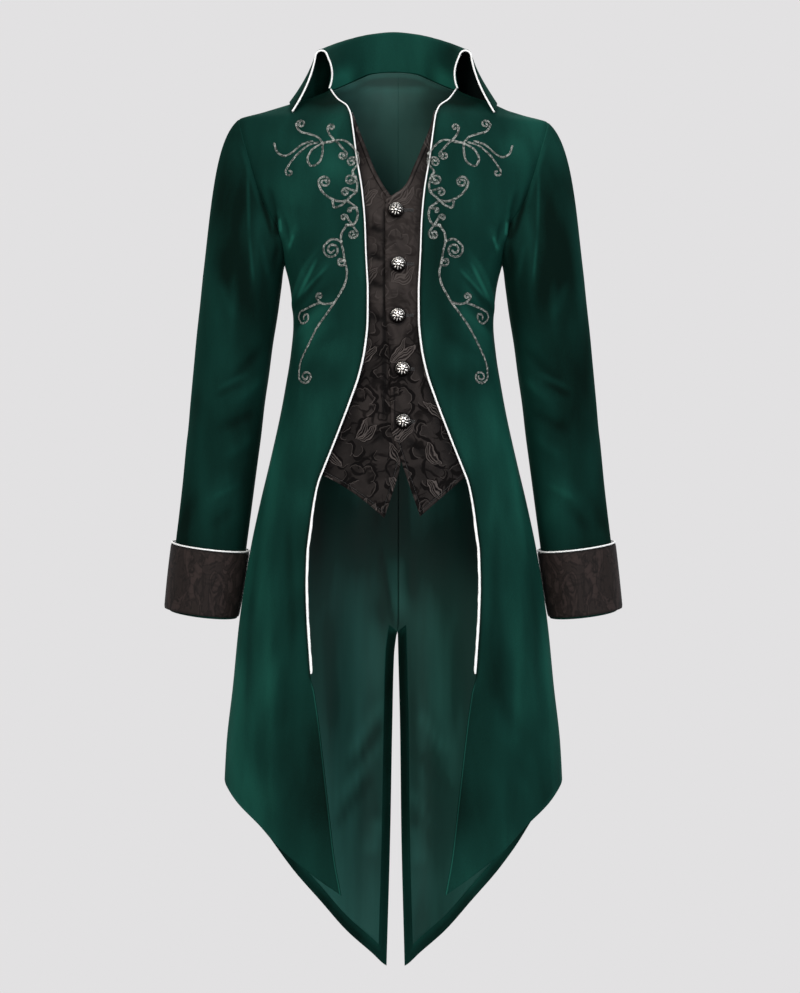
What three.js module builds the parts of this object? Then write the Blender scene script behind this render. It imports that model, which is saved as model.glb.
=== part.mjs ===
import * as THREE from 'three';

// A velvet tailcoat in millimetres, in the hollow form that a wearer gives it.
// X runs to the wearer's left, Y to the back and Z up.
// The origin lies midway between the shoulders, level with the foot of the neck.

// Thickness of each cloth, the cord in the edges, and the space left along a seam.
const VELVET = 2;
const BROCADE = 1.6;
const LINING = 1;
const COLLAR = 2.4;
const PIPING = 1.9;
const CUFF_PIPING = 1.7;
const PIPING_SIDES = 6;
const SEAM = 0.3;

// Sections of the figure under the cloth, from the neck down to the tails.
// half is half the width, front and back are the depths, round is the section's power.
const FIGURE = [
  { z: 60, half: 76, front: 8, back: 71, round: 2 },
  { z: 49, half: 77, front: 9, back: 75, round: 2 },
  { z: 30, half: 78.5, front: 14, back: 82, round: 2 },
  { z: 22, half: 81, front: 20, back: 84, round: 1.98 },
  { z: 18, half: 84.5, front: 24, back: 85, round: 1.95 },
  { z: 12, half: 92, front: 30, back: 86, round: 1.88 },
  { z: 5, half: 109, front: 37, back: 88, round: 1.82 },
  { z: -5, half: 141, front: 47, back: 91, round: 1.78 },
  { z: -16, half: 177, front: 58, back: 95, round: 1.78 },
  { z: -27, half: 212, front: 68, back: 99, round: 1.8 },
  { z: -60, half: 215, front: 86, back: 108, round: 1.92 },
  { z: -102, half: 206, front: 101, back: 115, round: 2.02 },
  { z: -140, half: 191, front: 109, back: 118, round: 2.12 },
  { z: -180, half: 170, front: 115, back: 116, round: 2.2 },
  { z: -224, half: 148, front: 117, back: 108, round: 2.25 },
  { z: -264, half: 139, front: 113, back: 98, round: 2.3 },
  { z: -305, half: 136, front: 108, back: 90, round: 2.3 },
  { z: -345, half: 139.5, front: 106, back: 90, round: 2.3 },
  { z: -386, half: 146, front: 107, back: 96, round: 2.3 },
  { z: -427, half: 153.5, front: 110, back: 105, round: 2.3 },
  { z: -488, half: 167, front: 114, back: 117, round: 2.3 },
  { z: -549, half: 181.5, front: 119, back: 126, round: 2.25 },
  { z: -611, half: 194.5, front: 124, back: 131, round: 2.25 },
  { z: -713, half: 210, front: 130, back: 137, round: 2.2 },
  { z: -794, half: 218, front: 135, back: 142, round: 2.2 },
  { z: -876, half: 227, front: 139, back: 147, round: 2.2 },
  { z: -940, half: 230, front: 142, back: 150, round: 2.2 },
  { z: -1062, half: 232, front: 146, back: 154, round: 2.2 },
  { z: -1200, half: 233, front: 150, back: 158, round: 2.2 },
];

// Half the gap between the two front edges, cord included, from the neck to the point.
const OPENING = [
  { z: 19, x: 85.5 },
  { z: 1, x: 74 },
  { z: -11, x: 61 },
  { z: -24, x: 55.6 },
  { z: -46, x: 52.2 },
  { z: -88, x: 46.7 },
  { z: -132, x: 39.7 },
  { z: -175, x: 35.9 },
  { z: -212, x: 34.6 },
  { z: -268, x: 32.4 },
  { z: -304, x: 32.8 },
  { z: -341, x: 36.5 },
  { z: -377, x: 44.3 },
  { z: -406, x: 54.2 },
  { z: -466, x: 77 },
  { z: -500, x: 90.7 },
  { z: -520, x: 98.3 },
  { z: -549, x: 104.4 },
  { z: -582, x: 108.8 },
  { z: -615, x: 112.5 },
  { z: -654, x: 113.3 },
  { z: -699, x: 111.8 },
  { z: -741, x: 109 },
  { z: -774, x: 106.5 },
  { z: -838, x: 97.7 },
  { z: -951, x: 84.4 },
  { z: -1016, x: 76.5 },
  { z: -1062, x: 68 },
  { z: -1110, x: 60 },
];

// The hems, from the side seam to each point.
const FRONT_HEM = [
  { x: 60, z: -1068 },
  { x: 68, z: -1062 },
  { x: 97, z: -1043 },
  { x: 117, z: -1028 },
  { x: 172, z: -982 },
  { x: 209, z: -949 },
  { x: 229, z: -925 },
];
const BACK_HEM = [
  { x: -20, z: -1209 },
  { x: 10, z: -1201 },
  { x: 31, z: -1183 },
  { x: 66, z: -1151 },
  { x: 101, z: -1111 },
  { x: 136, z: -1068 },
  { x: 170, z: -1016 },
  { x: 181, z: -1000 },
  { x: 208, z: -962 },
  { x: 229, z: -925 },
];

// The armhole, by height: how far the front and the back panel reach sideways.
const ARMPIT = -222;
const SHOULDER_TIP = 210;
const ARMHOLE = [
  { z: -214, front: 148.2, back: 148.4 },
  { z: -200, front: 150, back: 151.5 },
  { z: -174, front: 157.4, back: 161 },
  { z: -143, front: 175.2, back: 178 },
  { z: -107, front: 187.4, back: 191 },
  { z: -70, front: 198, back: 201 },
  { z: -40, front: 206.5, back: 207.5 },
];

// The back's neckline, and the centre back seam, which sits a little to the left.
const NAPE = 49.5;
const NECKLINE = [
  { x: -6, z: 49.5 },
  { x: 6, z: 49.5 },
  { x: 30, z: 46.5 },
  { x: 48, z: 38.5 },
  { x: 64, z: 29.5 },
  { x: 76, z: 22 },
];
const CENTRE_SEAM = 5.5;
const VENT_TOP = -728;
const VENT = [
  { z: -1201, right: -10, left: 15.5 },
  { z: -1010, right: -4.6, left: 10.8 },
  { z: -860, right: -1.8, left: 9 },
  { z: -760, right: 0.8, left: 6.5 },
  { z: -728, right: 4.6, left: 5.8 },
];

// Velvet turned in along the vent and the back hem, which the lining stops short of.
const VENT_BORDER = 12;
const HEM_BORDER = 21;

// Where the front cord ends, and how fast its width in the edge runs out.
const CORD_END = -774;
const CORD_FADE = 25;

// Soft hanging folds of the skirts: place as a share of the half width, depth and spread.
const SKIRT_FOLDS = [
  { side: 1, share: -0.7, depth: 6, spread: 0.13, top: -520, full: -1000 },
  { side: 1, share: -0.42, depth: -8, spread: 0.12, top: -480, full: -950 },
  { side: 1, share: -0.16, depth: 5, spread: 0.1, top: -560, full: -1000 },
  { side: 1, share: 0.2, depth: 6, spread: 0.1, top: -540, full: -980 },
  { side: 1, share: 0.47, depth: -7, spread: 0.12, top: -500, full: -960 },
  { side: 1, share: 0.74, depth: 5, spread: 0.12, top: -520, full: -1000 },
  { side: -1, share: -0.8, depth: -4, spread: 0.1, top: -560, full: -940 },
  { side: -1, share: -0.62, depth: 5, spread: 0.1, top: -520, full: -940 },
  { side: -1, share: 0.6, depth: 5, spread: 0.1, top: -540, full: -960 },
  { side: -1, share: 0.79, depth: -4, spread: 0.1, top: -560, full: -940 },
];

// Counts of columns and rows in the panels' walls.
const FRONT_COLUMNS = 9;
const BACK_COLUMNS = 9;
const NECK_COLUMNS = 5;
const FRONT_SKIRT_ROWS = 18;
const TAIL_ROWS = 9;
const BODY_ROWS = 10;
const YOKE_ROWS = 10;
const YOKE_STEPS = 48;
const PRESS_DROP = 60;
const SIDE_AT_VENT = -640;

// The sleeve's sections below the armhole: centre, half width and half depth.
const SLEEVE = [
  { z: -246, x: 205.5, y: 0, wide: 53.9, deep: 67 },
  { z: -284, x: 210.1, y: 2, wide: 53.3, deep: 65 },
  { z: -325, x: 215.9, y: 6, wide: 52.3, deep: 62 },
  { z: -366, x: 220.7, y: 10, wide: 51.6, deep: 60 },
  { z: -407, x: 225.8, y: 13, wide: 50.6, deep: 58 },
  { z: -448, x: 230.2, y: 15, wide: 50.3, deep: 55 },
  { z: -488, x: 234.9, y: 17, wide: 49.6, deep: 53 },
  { z: -529, x: 239.7, y: 19, wide: 48.9, deep: 51 },
  { z: -570, x: 244.8, y: 20, wide: 48.6, deep: 50 },
  { z: -608, x: 249.7, y: 21, wide: 48.4, deep: 49 },
  { z: -655, x: 254.9, y: 21, wide: 47.8, deep: 48 },
  { z: -698, x: 259.7, y: 21, wide: 46.9, deep: 47.5 },
];
const SLEEVE_LEAN = 0.1213;
const SLEEVE_POINTS = 2 * YOKE_ROWS;

// How the sleeve's head leaves the armhole and settles into the bicep section.
const HEAD_STEPS = [0, 0.07, 0.17, 0.3, 0.47, 0.7];
const HEAD_START = 0.18;
const HEAD_END = 0.45;
const HEAD_ROLL = 2;

// The way in which the sleeve's head leaves the armhole: outwards, to the front and down,
// and how much more outwards and less down it runs at the shoulder than at the armpit.
const HEAD_WAY = { out: 0.52, outMore: 0.28, front: 0.42, down: 0.78, downLess: 0.18 };

// The turned-up cuff: its sections from the piped top edge to the hem.
const CUFF = [
  { z: -608, x: 249.7, y: 21, wide: 53.4, deep: 53.5 },
  { z: -640, x: 253.2, y: 21, wide: 52.3, deep: 52.5 },
  { z: -672, x: 256.7, y: 21, wide: 51, deep: 51.2 },
  { z: -699, x: 259.7, y: 21, wide: 49.3, deep: 49.9 },
];

// The collar from the nape to its front end, right half mirrored: where the stand is sewn
// on, the top of the roll with its radius, and the place near which the fall's edge rests.
const COLLAR_SECTIONS = [
  { at: 0, neck: [0, 75, 49.5], fold: [0, 81, 106], roll: 4, edge: [0, 86, 12] },
  { at: 0.22, neck: [30, 70, 46.5], fold: [33, 76, 102], roll: 4.2, edge: [38, 78.5, 9.5] },
  { at: 0.42, neck: [54, 58, 35.5], fold: [62, 62, 93], roll: 4.6, edge: [78, 58, 5] },
  { at: 0.62, neck: [72, 36, 24.5], fold: [84, 40, 82], roll: 5.4, edge: [110, 36, 0] },
  { at: 0.8, neck: [84, 13, 17], fold: [95, 14, 73], roll: 6.4, edge: [133, 12, -3] },
  { at: 0.92, neck: [88, 0, 15.5], fold: [98, -4, 69], roll: 7.4, edge: [139, -16, -8] },
  { at: 1, neck: [87, -8, 15.5], fold: [97.5, -12, 67], roll: 8, edge: [136, -44, -22.5] },
];
const COLLAR_STEPS = 15;
const COLLAR_LIFT = 1.4;
const COLLAR_REST = 1.3;
const NAPE_BOW = 1.2;
const STAND_BOW = 5;
const FALL_BOW = 4;
const COLLAR_STEP = 0.02;
const ROLL_POINTS = 4;

// The waistcoat fronts, a row for each section: the free edge, then the end under the front.
// bow lifts the middle of the row.
const VEST_COLUMNS = 5;
const VEST_LEFT_DEPTH = 3.8;
const VEST_RIGHT_DEPTH = 6.4;
const VEST_LEFT = [
  { x: 55, z: -18, underX: 92, underZ: -14, bow: 0 },
  { x: 50.4, z: -39, underX: 93, underZ: -42, bow: 0 },
  { x: 39.6, z: -69, underX: 88, underZ: -72, bow: 0 },
  { x: 26.9, z: -100, underX: 83, underZ: -104, bow: 0 },
  { x: 16.3, z: -124, underX: 79, underZ: -130, bow: 0 },
  { x: 3.7, z: -135, underX: 77, underZ: -148, bow: 0 },
  { x: -10.9, z: -143, underX: 76, underZ: -164, bow: 0 },
  { x: -10.9, z: -180, underX: 75, underZ: -192, bow: 0 },
  { x: -10.9, z: -228, underX: 74, underZ: -230, bow: 0 },
  { x: -10.9, z: -278, underX: 73, underZ: -278, bow: 0 },
  { x: -8, z: -320, underX: 76, underZ: -318, bow: 0 },
  { x: -4.9, z: -357, underX: 84, underZ: -352, bow: 0 },
  { x: -3.6, z: -405, underX: 102, underZ: -395, bow: 0 },
  { x: -3, z: -449, underX: 114, underZ: -430, bow: 0 },
  { x: 9, z: -486, underX: 119, underZ: -452, bow: 0 },
  { x: 22, z: -524, underX: 121, underZ: -471, bow: 0 },
  { x: 36, z: -564, underX: 123, underZ: -489, bow: 0 },
];
const VEST_RIGHT = [
  { x: -55, z: -18, underX: -92, underZ: -14, bow: 0 },
  { x: -48, z: -40, underX: -93, underZ: -42, bow: 0 },
  { x: -37.5, z: -68, underX: -88, underZ: -72, bow: 0 },
  { x: -25.5, z: -100, underX: -83, underZ: -104, bow: 0 },
  { x: -13, z: -124, underX: -79, underZ: -130, bow: 0 },
  { x: 2, z: -145, underX: -77, underZ: -150, bow: 0 },
  { x: 12, z: -160, underX: -76, underZ: -168, bow: 0 },
  { x: 12, z: -190, underX: -75, underZ: -192, bow: 0 },
  { x: 12, z: -230, underX: -74, underZ: -230, bow: 0 },
  { x: 12, z: -278, underX: -73, underZ: -278, bow: 0 },
  { x: 12, z: -320, underX: -76, underZ: -318, bow: 0 },
  { x: 12, z: -357, underX: -84, underZ: -352, bow: 0 },
  { x: 13, z: -405, underX: -102, underZ: -395, bow: 0 },
  { x: 13, z: -449, underX: -114, underZ: -430, bow: 2 },
  { x: 10.5, z: -490, underX: -119, underZ: -458, bow: 4 },
  { x: 0, z: -530, underX: -121, underZ: -480, bow: 7 },
  { x: -12, z: -566, underX: -123, underZ: -500, bow: 9 },
];

// Buttons down the waistcoat front, from the top.
const BUTTON_RADIUS = 10.3;
const BUTTON_SIDES = 14;
const BUTTONS = [
  { x: 3.6, z: -158.5 },
  { x: 7, z: -231 },
  { x: 6.1, z: -298.5 },
  { x: 12.3, z: -369 },
  { x: 13.3, z: -438.5 },
];
const BUTTON_PROFILE = [
  { r: 0, h: 0 },
  { r: 0.72, h: 0 },
  { r: 0.97, h: 1.2 },
  { r: 1, h: 2 },
  { r: 0.86, h: 3.4 },
  { r: 0.5, h: 5.1 },
  { r: 0, h: 5.8 },
];

// A function that runs smoothly through one column of a table and never overshoots its rows.
function smooth(rows, key, column) {
  const sorted = [...rows].sort((a, b) => a[key] - b[key]);
  const at = sorted.map((row) => row[key]);
  const value = sorted.map((row) => row[column]);
  const last = at.length - 1;
  const step = at.slice(1).map((next, i) => next - at[i]);
  const rise = step.map((width, i) => (value[i + 1] - value[i]) / width);
  const slope = value.map((_, i) => {
    if (i === 0) return rise[0];
    if (i === last) return rise[last - 1];
    if (rise[i - 1] * rise[i] <= 0) return 0;
    const before = 2 * step[i] + step[i - 1];
    const after = step[i] + 2 * step[i - 1];
    return (before + after) / (before / rise[i - 1] + after / rise[i]);
  });
  return (place) => {
    const p = Math.min(Math.max(place, at[0]), at[last]);
    let i = at.findIndex((next) => next > p) - 1;
    if (i < 0) i = last - 1;
    const t = (p - at[i]) / step[i];
    const fromStart = (1 + 2 * t) * (1 - t) ** 2 * value[i] + t * (1 - t) ** 2 * step[i] * slope[i];
    const fromEnd = t ** 2 * (3 - 2 * t) * value[i + 1] + t ** 2 * (t - 1) * step[i] * slope[i + 1];
    return fromStart + fromEnd;
  };
}

const halfWidth = smooth(FIGURE, 'z', 'half');
const frontDepth = smooth(FIGURE, 'z', 'front');
const backDepth = smooth(FIGURE, 'z', 'back');
const roundness = smooth(FIGURE, 'z', 'round');
const opening = smooth(OPENING, 'z', 'x');
const frontHem = smooth(FRONT_HEM, 'x', 'z');
const backHem = smooth(BACK_HEM, 'x', 'z');

const vector = (x, y, z) => new THREE.Vector3(x, y, z);
const mix = (a, b, t) => a + (b - a) * t;
const ramp = (t) => THREE.MathUtils.smoothstep(t, 0, 1);

// The root of a function that is above zero at low and below zero at high.
function crossing(f, low, high) {
  for (let i = 0; i < 50; i++) {
    const middle = (low + high) / 2;
    if (f(middle) > 0) low = middle;
    else high = middle;
  }
  return (low + high) / 2;
}

// How far out of its section a point lies: under 1 inside the figure, 1 on it.
function reach(x, y, z) {
  const depth = y < 0 ? frontDepth(z) : backDepth(z);
  const power = roundness(z);
  return Math.abs(x / halfWidth(z)) ** power + Math.abs(y / depth) ** power;
}

// The figure's depth under a place seen from the front (side -1) or the back (side 1).
function depthAt(x, z, side) {
  const power = roundness(z);
  const left = Math.max(0, 1 - Math.abs(x / halfWidth(z)) ** power);
  return side * (side < 0 ? frontDepth(z) : backDepth(z)) * left ** (1 / power);
}

function normalAt(x, y, z) {
  const power = roundness(z);
  const half = halfWidth(z);
  const depth = y < 0 ? frontDepth(z) : backDepth(z);
  const nx = (power / half) * Math.abs(x / half) ** (power - 1) * Math.sign(x);
  const ny = (power / depth) * Math.abs(y / depth) ** (power - 1) * Math.sign(y);
  const nz = (reach(x, y, z + 0.5) - reach(x, y, z - 0.5)) / 1;
  return vector(nx, ny, nz).normalize();
}

function foldLift(x, z, side) {
  let lift = 0;
  for (const fold of SKIRT_FOLDS) {
    if (fold.side !== side) continue;
    const away = (x / halfWidth(z) - fold.share) / fold.spread;
    lift += fold.depth * Math.exp(-away * away) * ramp((fold.top - z) / (fold.top - fold.full));
  }
  return lift;
}

// A cloth point: its place on the outside, and the way out of the cloth there.
function clothPoint(x, z, side) {
  const y = depthAt(x, z, side);
  const normal = normalAt(x, y, z);
  const point = vector(x, y, z).addScaledVector(normal, foldLift(x, z, side));
  if (side * point.y < SEAM / 2) point.y = (side * SEAM) / 2;
  return { point, normal };
}

const ridge = (x) => crossing((z) => halfWidth(z) - x, -60, 60);

function angleAt(x, z) {
  const share = Math.min(1, Math.abs(x / halfWidth(z)));
  return Math.acos(Math.sign(x) * share ** (roundness(z) / 2));
}

function acrossAt(angle, z) {
  const cosine = Math.cos(angle);
  return halfWidth(z) * Math.sign(cosine) * Math.abs(cosine) ** (2 / roundness(z));
}

// The velvet's own front edge, set back by the cord that is sewn into it.
function frontEdge(z) {
  const slope = opening(z + 1) - opening(z - 1);
  const cord = ramp((z - CORD_END) / CORD_FADE + 1);
  return opening(z) + cord * (2 * PIPING + SEAM) * Math.hypot(1, slope / 2);
}

const NECK_POINT = crossing((z) => halfWidth(z) - frontEdge(z), -10, 19);
const SHOULDER_END = ridge(SHOULDER_TIP);

function armhole(column) {
  const ends = [
    { z: ARMPIT, [column]: halfWidth(ARMPIT) },
    { z: SHOULDER_END, [column]: SHOULDER_TIP },
  ];
  return smooth([...ARMHOLE, ...ends], 'z', column);
}

// A curve of flat places turned into one that runs evenly over the figure.
function evenly(curve, side) {
  const places = [];
  for (let i = 0; i <= YOKE_STEPS * 4; i++) places.push(curve(i / (YOKE_STEPS * 4)));
  const run = [0];
  for (let i = 1; i < places.length; i++) {
    const a = clothPoint(places[i - 1].x, places[i - 1].z, side).point;
    const b = clothPoint(places[i].x, places[i].z, side).point;
    run.push(run[i - 1] + a.distanceTo(b));
  }
  const whole = run[run.length - 1];
  return (t) => {
    const goal = t * whole;
    const i = Math.max(1, run.findIndex((length) => length >= goal - 1e-9));
    const share = (goal - run[i - 1]) / Math.max(1e-9, run[i] - run[i - 1]);
    return { x: mix(places[i - 1].x, places[i].x, share), z: mix(places[i - 1].z, places[i].z, share) };
  };
}

// Where the line from the middle of the coat through a point meets the figure.
function pressed(point) {
  const core = vector(point.x / 2, 0, point.z - PRESS_DROP);
  const away = point.clone().sub(core);
  const share = crossing((t) => {
    const spot = core.clone().addScaledVector(away, t);
    return 1 - reach(spot.x, spot.y, spot.z);
  }, 0.3, 2);
  return core.addScaledVector(away, share);
}

// Rows of a panel above the armpit: blended in space from its four edges, pressed onto the
// figure, and evened out up each column.
function yokeRows(side, inner, outer, bottom, top) {
  const columns = bottom.length - 1;
  const innerEven = evenly(inner, side);
  const outerEven = evenly(outer, side);
  const onFigure = ({ x, z }) => vector(x, depthAt(x, z, side), z);
  const low = bottom.map(onFigure);
  const high = top.map(onFigure);
  const blend = (column, v) => {
    const u = column / columns;
    const across = onFigure(innerEven(v)).lerp(onFigure(outerEven(v)), u);
    const along = low[column].clone().lerp(high[column], v);
    const corners = low[0].clone().lerp(low[columns], u);
    corners.lerp(high[0].clone().lerp(high[columns], u), v);
    const place = pressed(across.add(along).sub(corners));
    return { x: place.x, z: place.z };
  };
  const rows = [];
  for (let row = 1; row <= YOKE_ROWS; row++) rows.push([]);
  for (let column = 0; column <= columns; column++) {
    const place = evenly((v) => blend(column, v), side);
    for (let row = 1; row <= YOKE_ROWS; row++) rows[row - 1].push(place(row / YOKE_ROWS));
  }
  rows[YOKE_ROWS - 1] = top;
  return rows;
}

// The left front's flat places, from the hem up. Column 0 is the front edge.
function frontPlaces() {
  const rows = [];
  const across = (z, u) => acrossAt(angleAt(frontEdge(z), z) * (1 - u), z);
  for (let row = 0; row <= FRONT_SKIRT_ROWS; row++) {
    const places = [];
    for (let column = 0; column <= FRONT_COLUMNS; column++) {
      const u = column / FRONT_COLUMNS;
      let hem = -1000;
      for (let i = 0; i < 30; i++) hem = frontHem(across(hem, u));
      const z = mix(hem, ARMPIT, row / FRONT_SKIRT_ROWS);
      places.push({ x: across(z, u), z });
    }
    rows.push(places);
  }
  const edge = (v) => {
    const z = mix(ARMPIT, NECK_POINT, v);
    return { x: frontEdge(z), z };
  };
  const reachOut = armhole('front');
  const hole = (v) => {
    const z = mix(ARMPIT, SHOULDER_END, v);
    return { x: reachOut(z), z };
  };
  const seam = rows[FRONT_SKIRT_ROWS].map((_, column) => {
    const x = mix(frontEdge(NECK_POINT), SHOULDER_TIP, column / FRONT_COLUMNS);
    return { x, z: ridge(x) };
  });
  return [...rows, ...yokeRows(-1, edge, hole, rows[FRONT_SKIRT_ROWS], seam)];
}

// The centre seam or vent edge of one back, in that back's own hand.
function backEdge(hand) {
  const vent = smooth(VENT, 'z', hand > 0 ? 'left' : 'right');
  return (z) => hand * (z >= VENT_TOP ? CENTRE_SEAM + (hand * SEAM) / 2 : vent(z));
}

// One back's flat places, from the hem up, with x counted outwards. Column 0 is the centre.
function backPlaces(hand) {
  const edge = backEdge(hand);
  const across = (z, column) => {
    const border = edge(z) + VENT_BORDER;
    if (column === 0) return edge(z);
    return acrossAt(angleAt(border, z) * (1 - (column - 1) / (BACK_COLUMNS - 1)), z);
  };
  const rows = [];
  const addRow = (height) => {
    const places = [];
    for (let column = 0; column <= BACK_COLUMNS; column++) {
      let hem = -1100;
      for (let i = 0; i < 30; i++) hem = backHem(across(hem, column));
      const z = height(hem, column / BACK_COLUMNS);
      places.push({ x: across(z, column), z });
    }
    rows.push(places);
  };
  addRow((hem) => hem);
  for (let row = 0; row <= TAIL_ROWS; row++) {
    addRow((hem, u) => mix(hem + HEM_BORDER, mix(VENT_TOP, SIDE_AT_VENT, u), row / TAIL_ROWS));
  }
  for (let row = 1; row <= BODY_ROWS; row++) {
    addRow((hem, u) => mix(mix(VENT_TOP, SIDE_AT_VENT, u), ARMPIT, row / BODY_ROWS));
  }
  const bottom = rows[rows.length - 1];
  const seam = (v) => ({ x: edge(0), z: mix(ARMPIT, NAPE, v) });
  const reachOut = armhole('back');
  const hole = (v) => {
    const z = mix(ARMPIT, SHOULDER_END, v);
    return { x: reachOut(z), z };
  };
  const neckX = halfWidth(NECK_POINT);
  const neckPoint = { x: neckX, z: NECK_POINT };
  const neckCurve = smooth([...NECKLINE, neckPoint], 'x', 'z');
  const neck = evenly((t) => {
    const x = mix(edge(0) + VENT_BORDER, neckX, t);
    return { x, z: neckCurve(x) };
  }, 1);
  const top = bottom.map((_, column) => {
    if (column === 0) return { x: edge(0), z: NAPE };
    if (column <= NECK_COLUMNS) return neck((column - 1) / (NECK_COLUMNS - 1));
    const x = mix(neckX, SHOULDER_TIP, (column - NECK_COLUMNS) / (BACK_COLUMNS - NECK_COLUMNS));
    return { x, z: ridge(x) };
  });
  return [...rows, ...yokeRows(1, seam, hole, bottom, top)];
}

// Cloth points of a panel, moved into the coat by a depth, with the wall beneath them.
function layer(places, hand, side, depth, thickness) {
  return places.map((row) => row.map((place) => {
    const { point, normal } = clothPoint(hand * place.x, place.z, side);
    const outside = point.clone().addScaledVector(normal, -depth);
    const inside = point.clone().addScaledVector(normal, -depth - thickness);
    return { outside, inside, normal };
  }));
}

// A closed wall over a grid of paired points. wrap joins the last column to the first.
function wall(grid, wrap = false, keep = () => true) {
  const rows = grid.length;
  const columns = grid[0].length;
  const points = [];
  for (const key of ['outside', 'inside']) {
    for (const row of grid) for (const cell of row) points.push(cell[key]);
  }
  const under = rows * columns;
  const faces = [];
  const edges = new Map();
  const addFace = (a, b, c) => {
    faces.push([a, b, c]);
    faces.push([a + under, c + under, b + under]);
    for (const [from, to] of [[a, b], [b, c], [c, a]]) edges.set(`${from}_${to}`, [from, to]);
  };
  for (let r = 0; r + 1 < rows; r++) {
    for (let c = 0; c < (wrap ? columns : columns - 1); c++) {
      if (!keep(r, c)) continue;
      const next = (c + 1) % columns;
      const corner = r * columns + c;
      const beside = r * columns + next;
      addFace(corner, beside, beside + columns);
      addFace(corner, beside + columns, corner + columns);
    }
  }
  for (const [from, to] of edges.values()) {
    if (edges.has(`${to}_${from}`)) continue;
    faces.push([to, from, from + under]);
    faces.push([to, from + under, to + under]);
  }
  return solid(points, faces);
}

// A round cord along a line of points, six-sided, closed at its ends or into a ring.
function cord(line, radius, ring = false) {
  const points = [];
  const faces = [];
  const count = line.length;
  let side = null;
  line.forEach((point, i) => {
    const before = ring ? line[(i + count - 1) % count] : line[Math.max(0, i - 1)];
    const after = ring ? line[(i + 1) % count] : line[Math.min(count - 1, i + 1)];
    const along = after.clone().sub(before).normalize();
    if (side === null) side = vector(along.z, along.x, along.y);
    side.addScaledVector(along, -side.dot(along)).normalize();
    const up = along.clone().cross(side);
    for (let k = 0; k < PIPING_SIDES; k++) {
      const turn = (2 * Math.PI * k) / PIPING_SIDES;
      const spot = point.clone().addScaledVector(side, radius * Math.cos(turn));
      points.push(spot.addScaledVector(up, radius * Math.sin(turn)));
    }
  });
  for (let i = 0; i < (ring ? count : count - 1); i++) {
    for (let k = 0; k < PIPING_SIDES; k++) {
      const a = i * PIPING_SIDES + k;
      const b = i * PIPING_SIDES + ((k + 1) % PIPING_SIDES);
      const next = ((i + 1) % count) * PIPING_SIDES;
      const c = next + ((k + 1) % PIPING_SIDES);
      faces.push([a, b, c], [a, c, next + k]);
    }
  }
  if (!ring) {
    const end = (count - 1) * PIPING_SIDES;
    for (let k = 1; k + 1 < PIPING_SIDES; k++) {
      faces.push([0, k + 1, k], [end, end + k, end + k + 1]);
    }
  }
  return solid(points, faces);
}

// A closed body from points and faces, turned so that its faces point out.
function solid(points, faces) {
  let volume = 0;
  for (const [a, b, c] of faces) volume += points[a].dot(points[b].clone().cross(points[c]));
  const kept = new Map();
  const places = [];
  const index = [];
  for (const [a, b, c] of faces) {
    for (const corner of volume > 0 ? [a, b, c] : [a, c, b]) {
      if (!kept.has(corner)) {
        kept.set(corner, places.length / 3);
        places.push(points[corner].x, points[corner].y, points[corner].z);
      }
      index.push(kept.get(corner));
    }
  }
  const geometry = new THREE.BufferGeometry();
  geometry.setAttribute('position', new THREE.Float32BufferAttribute(places, 3));
  geometry.setIndex(index);
  geometry.computeVertexNormals();
  return geometry;
}

// The same body for the other hand.
function mirrored(geometry) {
  const copy = geometry.clone();
  copy.scale(-1, 1, 1);
  const index = copy.getIndex();
  for (let i = 0; i < index.count; i += 3) {
    const second = index.getX(i + 1);
    index.setX(i + 1, index.getX(i + 2));
    index.setX(i + 2, second);
  }
  copy.computeVertexNormals();
  return copy;
}

// The wall under a grid of outside points, by the grid's own slopes.
// seams are the rows whose wall mustn't lean back over the neighbouring piece.
function walled(outside, thickness, centre, seam = null) {
  const rows = outside.length;
  const columns = outside[0].length;
  return outside.map((row, r) => row.map((point, c) => {
    const ahead = row[(c + 1) % columns].clone().sub(row[(c + columns - 1) % columns]);
    const below = outside[Math.min(rows - 1, r + 1)][c].clone();
    const down = below.sub(outside[Math.max(0, r - 1)][c]);
    const normal = ahead.cross(down).normalize();
    if (normal.dot(point.clone().sub(centre[r])) < 0) normal.negate();
    if (seam && r === 0) {
      const lean = normal.dot(seam[c]);
      if (lean > 0) normal.addScaledVector(seam[c], -lean).normalize();
    }
    return { outside: point, inside: point.clone().addScaledVector(normal, -thickness) };
  }));
}

// One ring of a sleeve or cuff, square to the arm, from its outermost point round by the front.
function armRing(section) {
  const out = vector(1, 0, SLEEVE_LEAN).normalize();
  const centre = vector(section.x, section.y, section.z);
  const ring = [];
  for (let i = 0; i < SLEEVE_POINTS; i++) {
    const turn = (2 * Math.PI * i) / SLEEVE_POINTS;
    const spot = centre.clone().addScaledVector(out, section.wide * Math.cos(turn));
    ring.push(spot.add(vector(0, -section.deep * Math.sin(turn), 0)));
  }
  return { ring, centre };
}

// The left armhole as a ring of panel points, from the shoulder down the front and up the back.
function armholeRing(front, back) {
  const pick = (panel, row) => panel[panel.length - 1 - row][panel[0].length - 1];
  const ring = [];
  for (let i = 0; i < SLEEVE_POINTS; i++) {
    const onFront = i <= YOKE_ROWS;
    const cell = onFront ? pick(front, i) : pick(back, SLEEVE_POINTS - i);
    const point = cell.outside.clone();
    if (i === 0 || i === YOKE_ROWS) point.y = 0;
    ring.push({ point, normal: cell.normal });
  }
  const count = ring.length;
  return ring.map(({ point, normal }, i) => {
    const along = ring[(i + 1) % count].point.clone().sub(ring[(i + count - 1) % count].point);
    return { point, away: normal.clone().cross(along).normalize() };
  });
}

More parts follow.
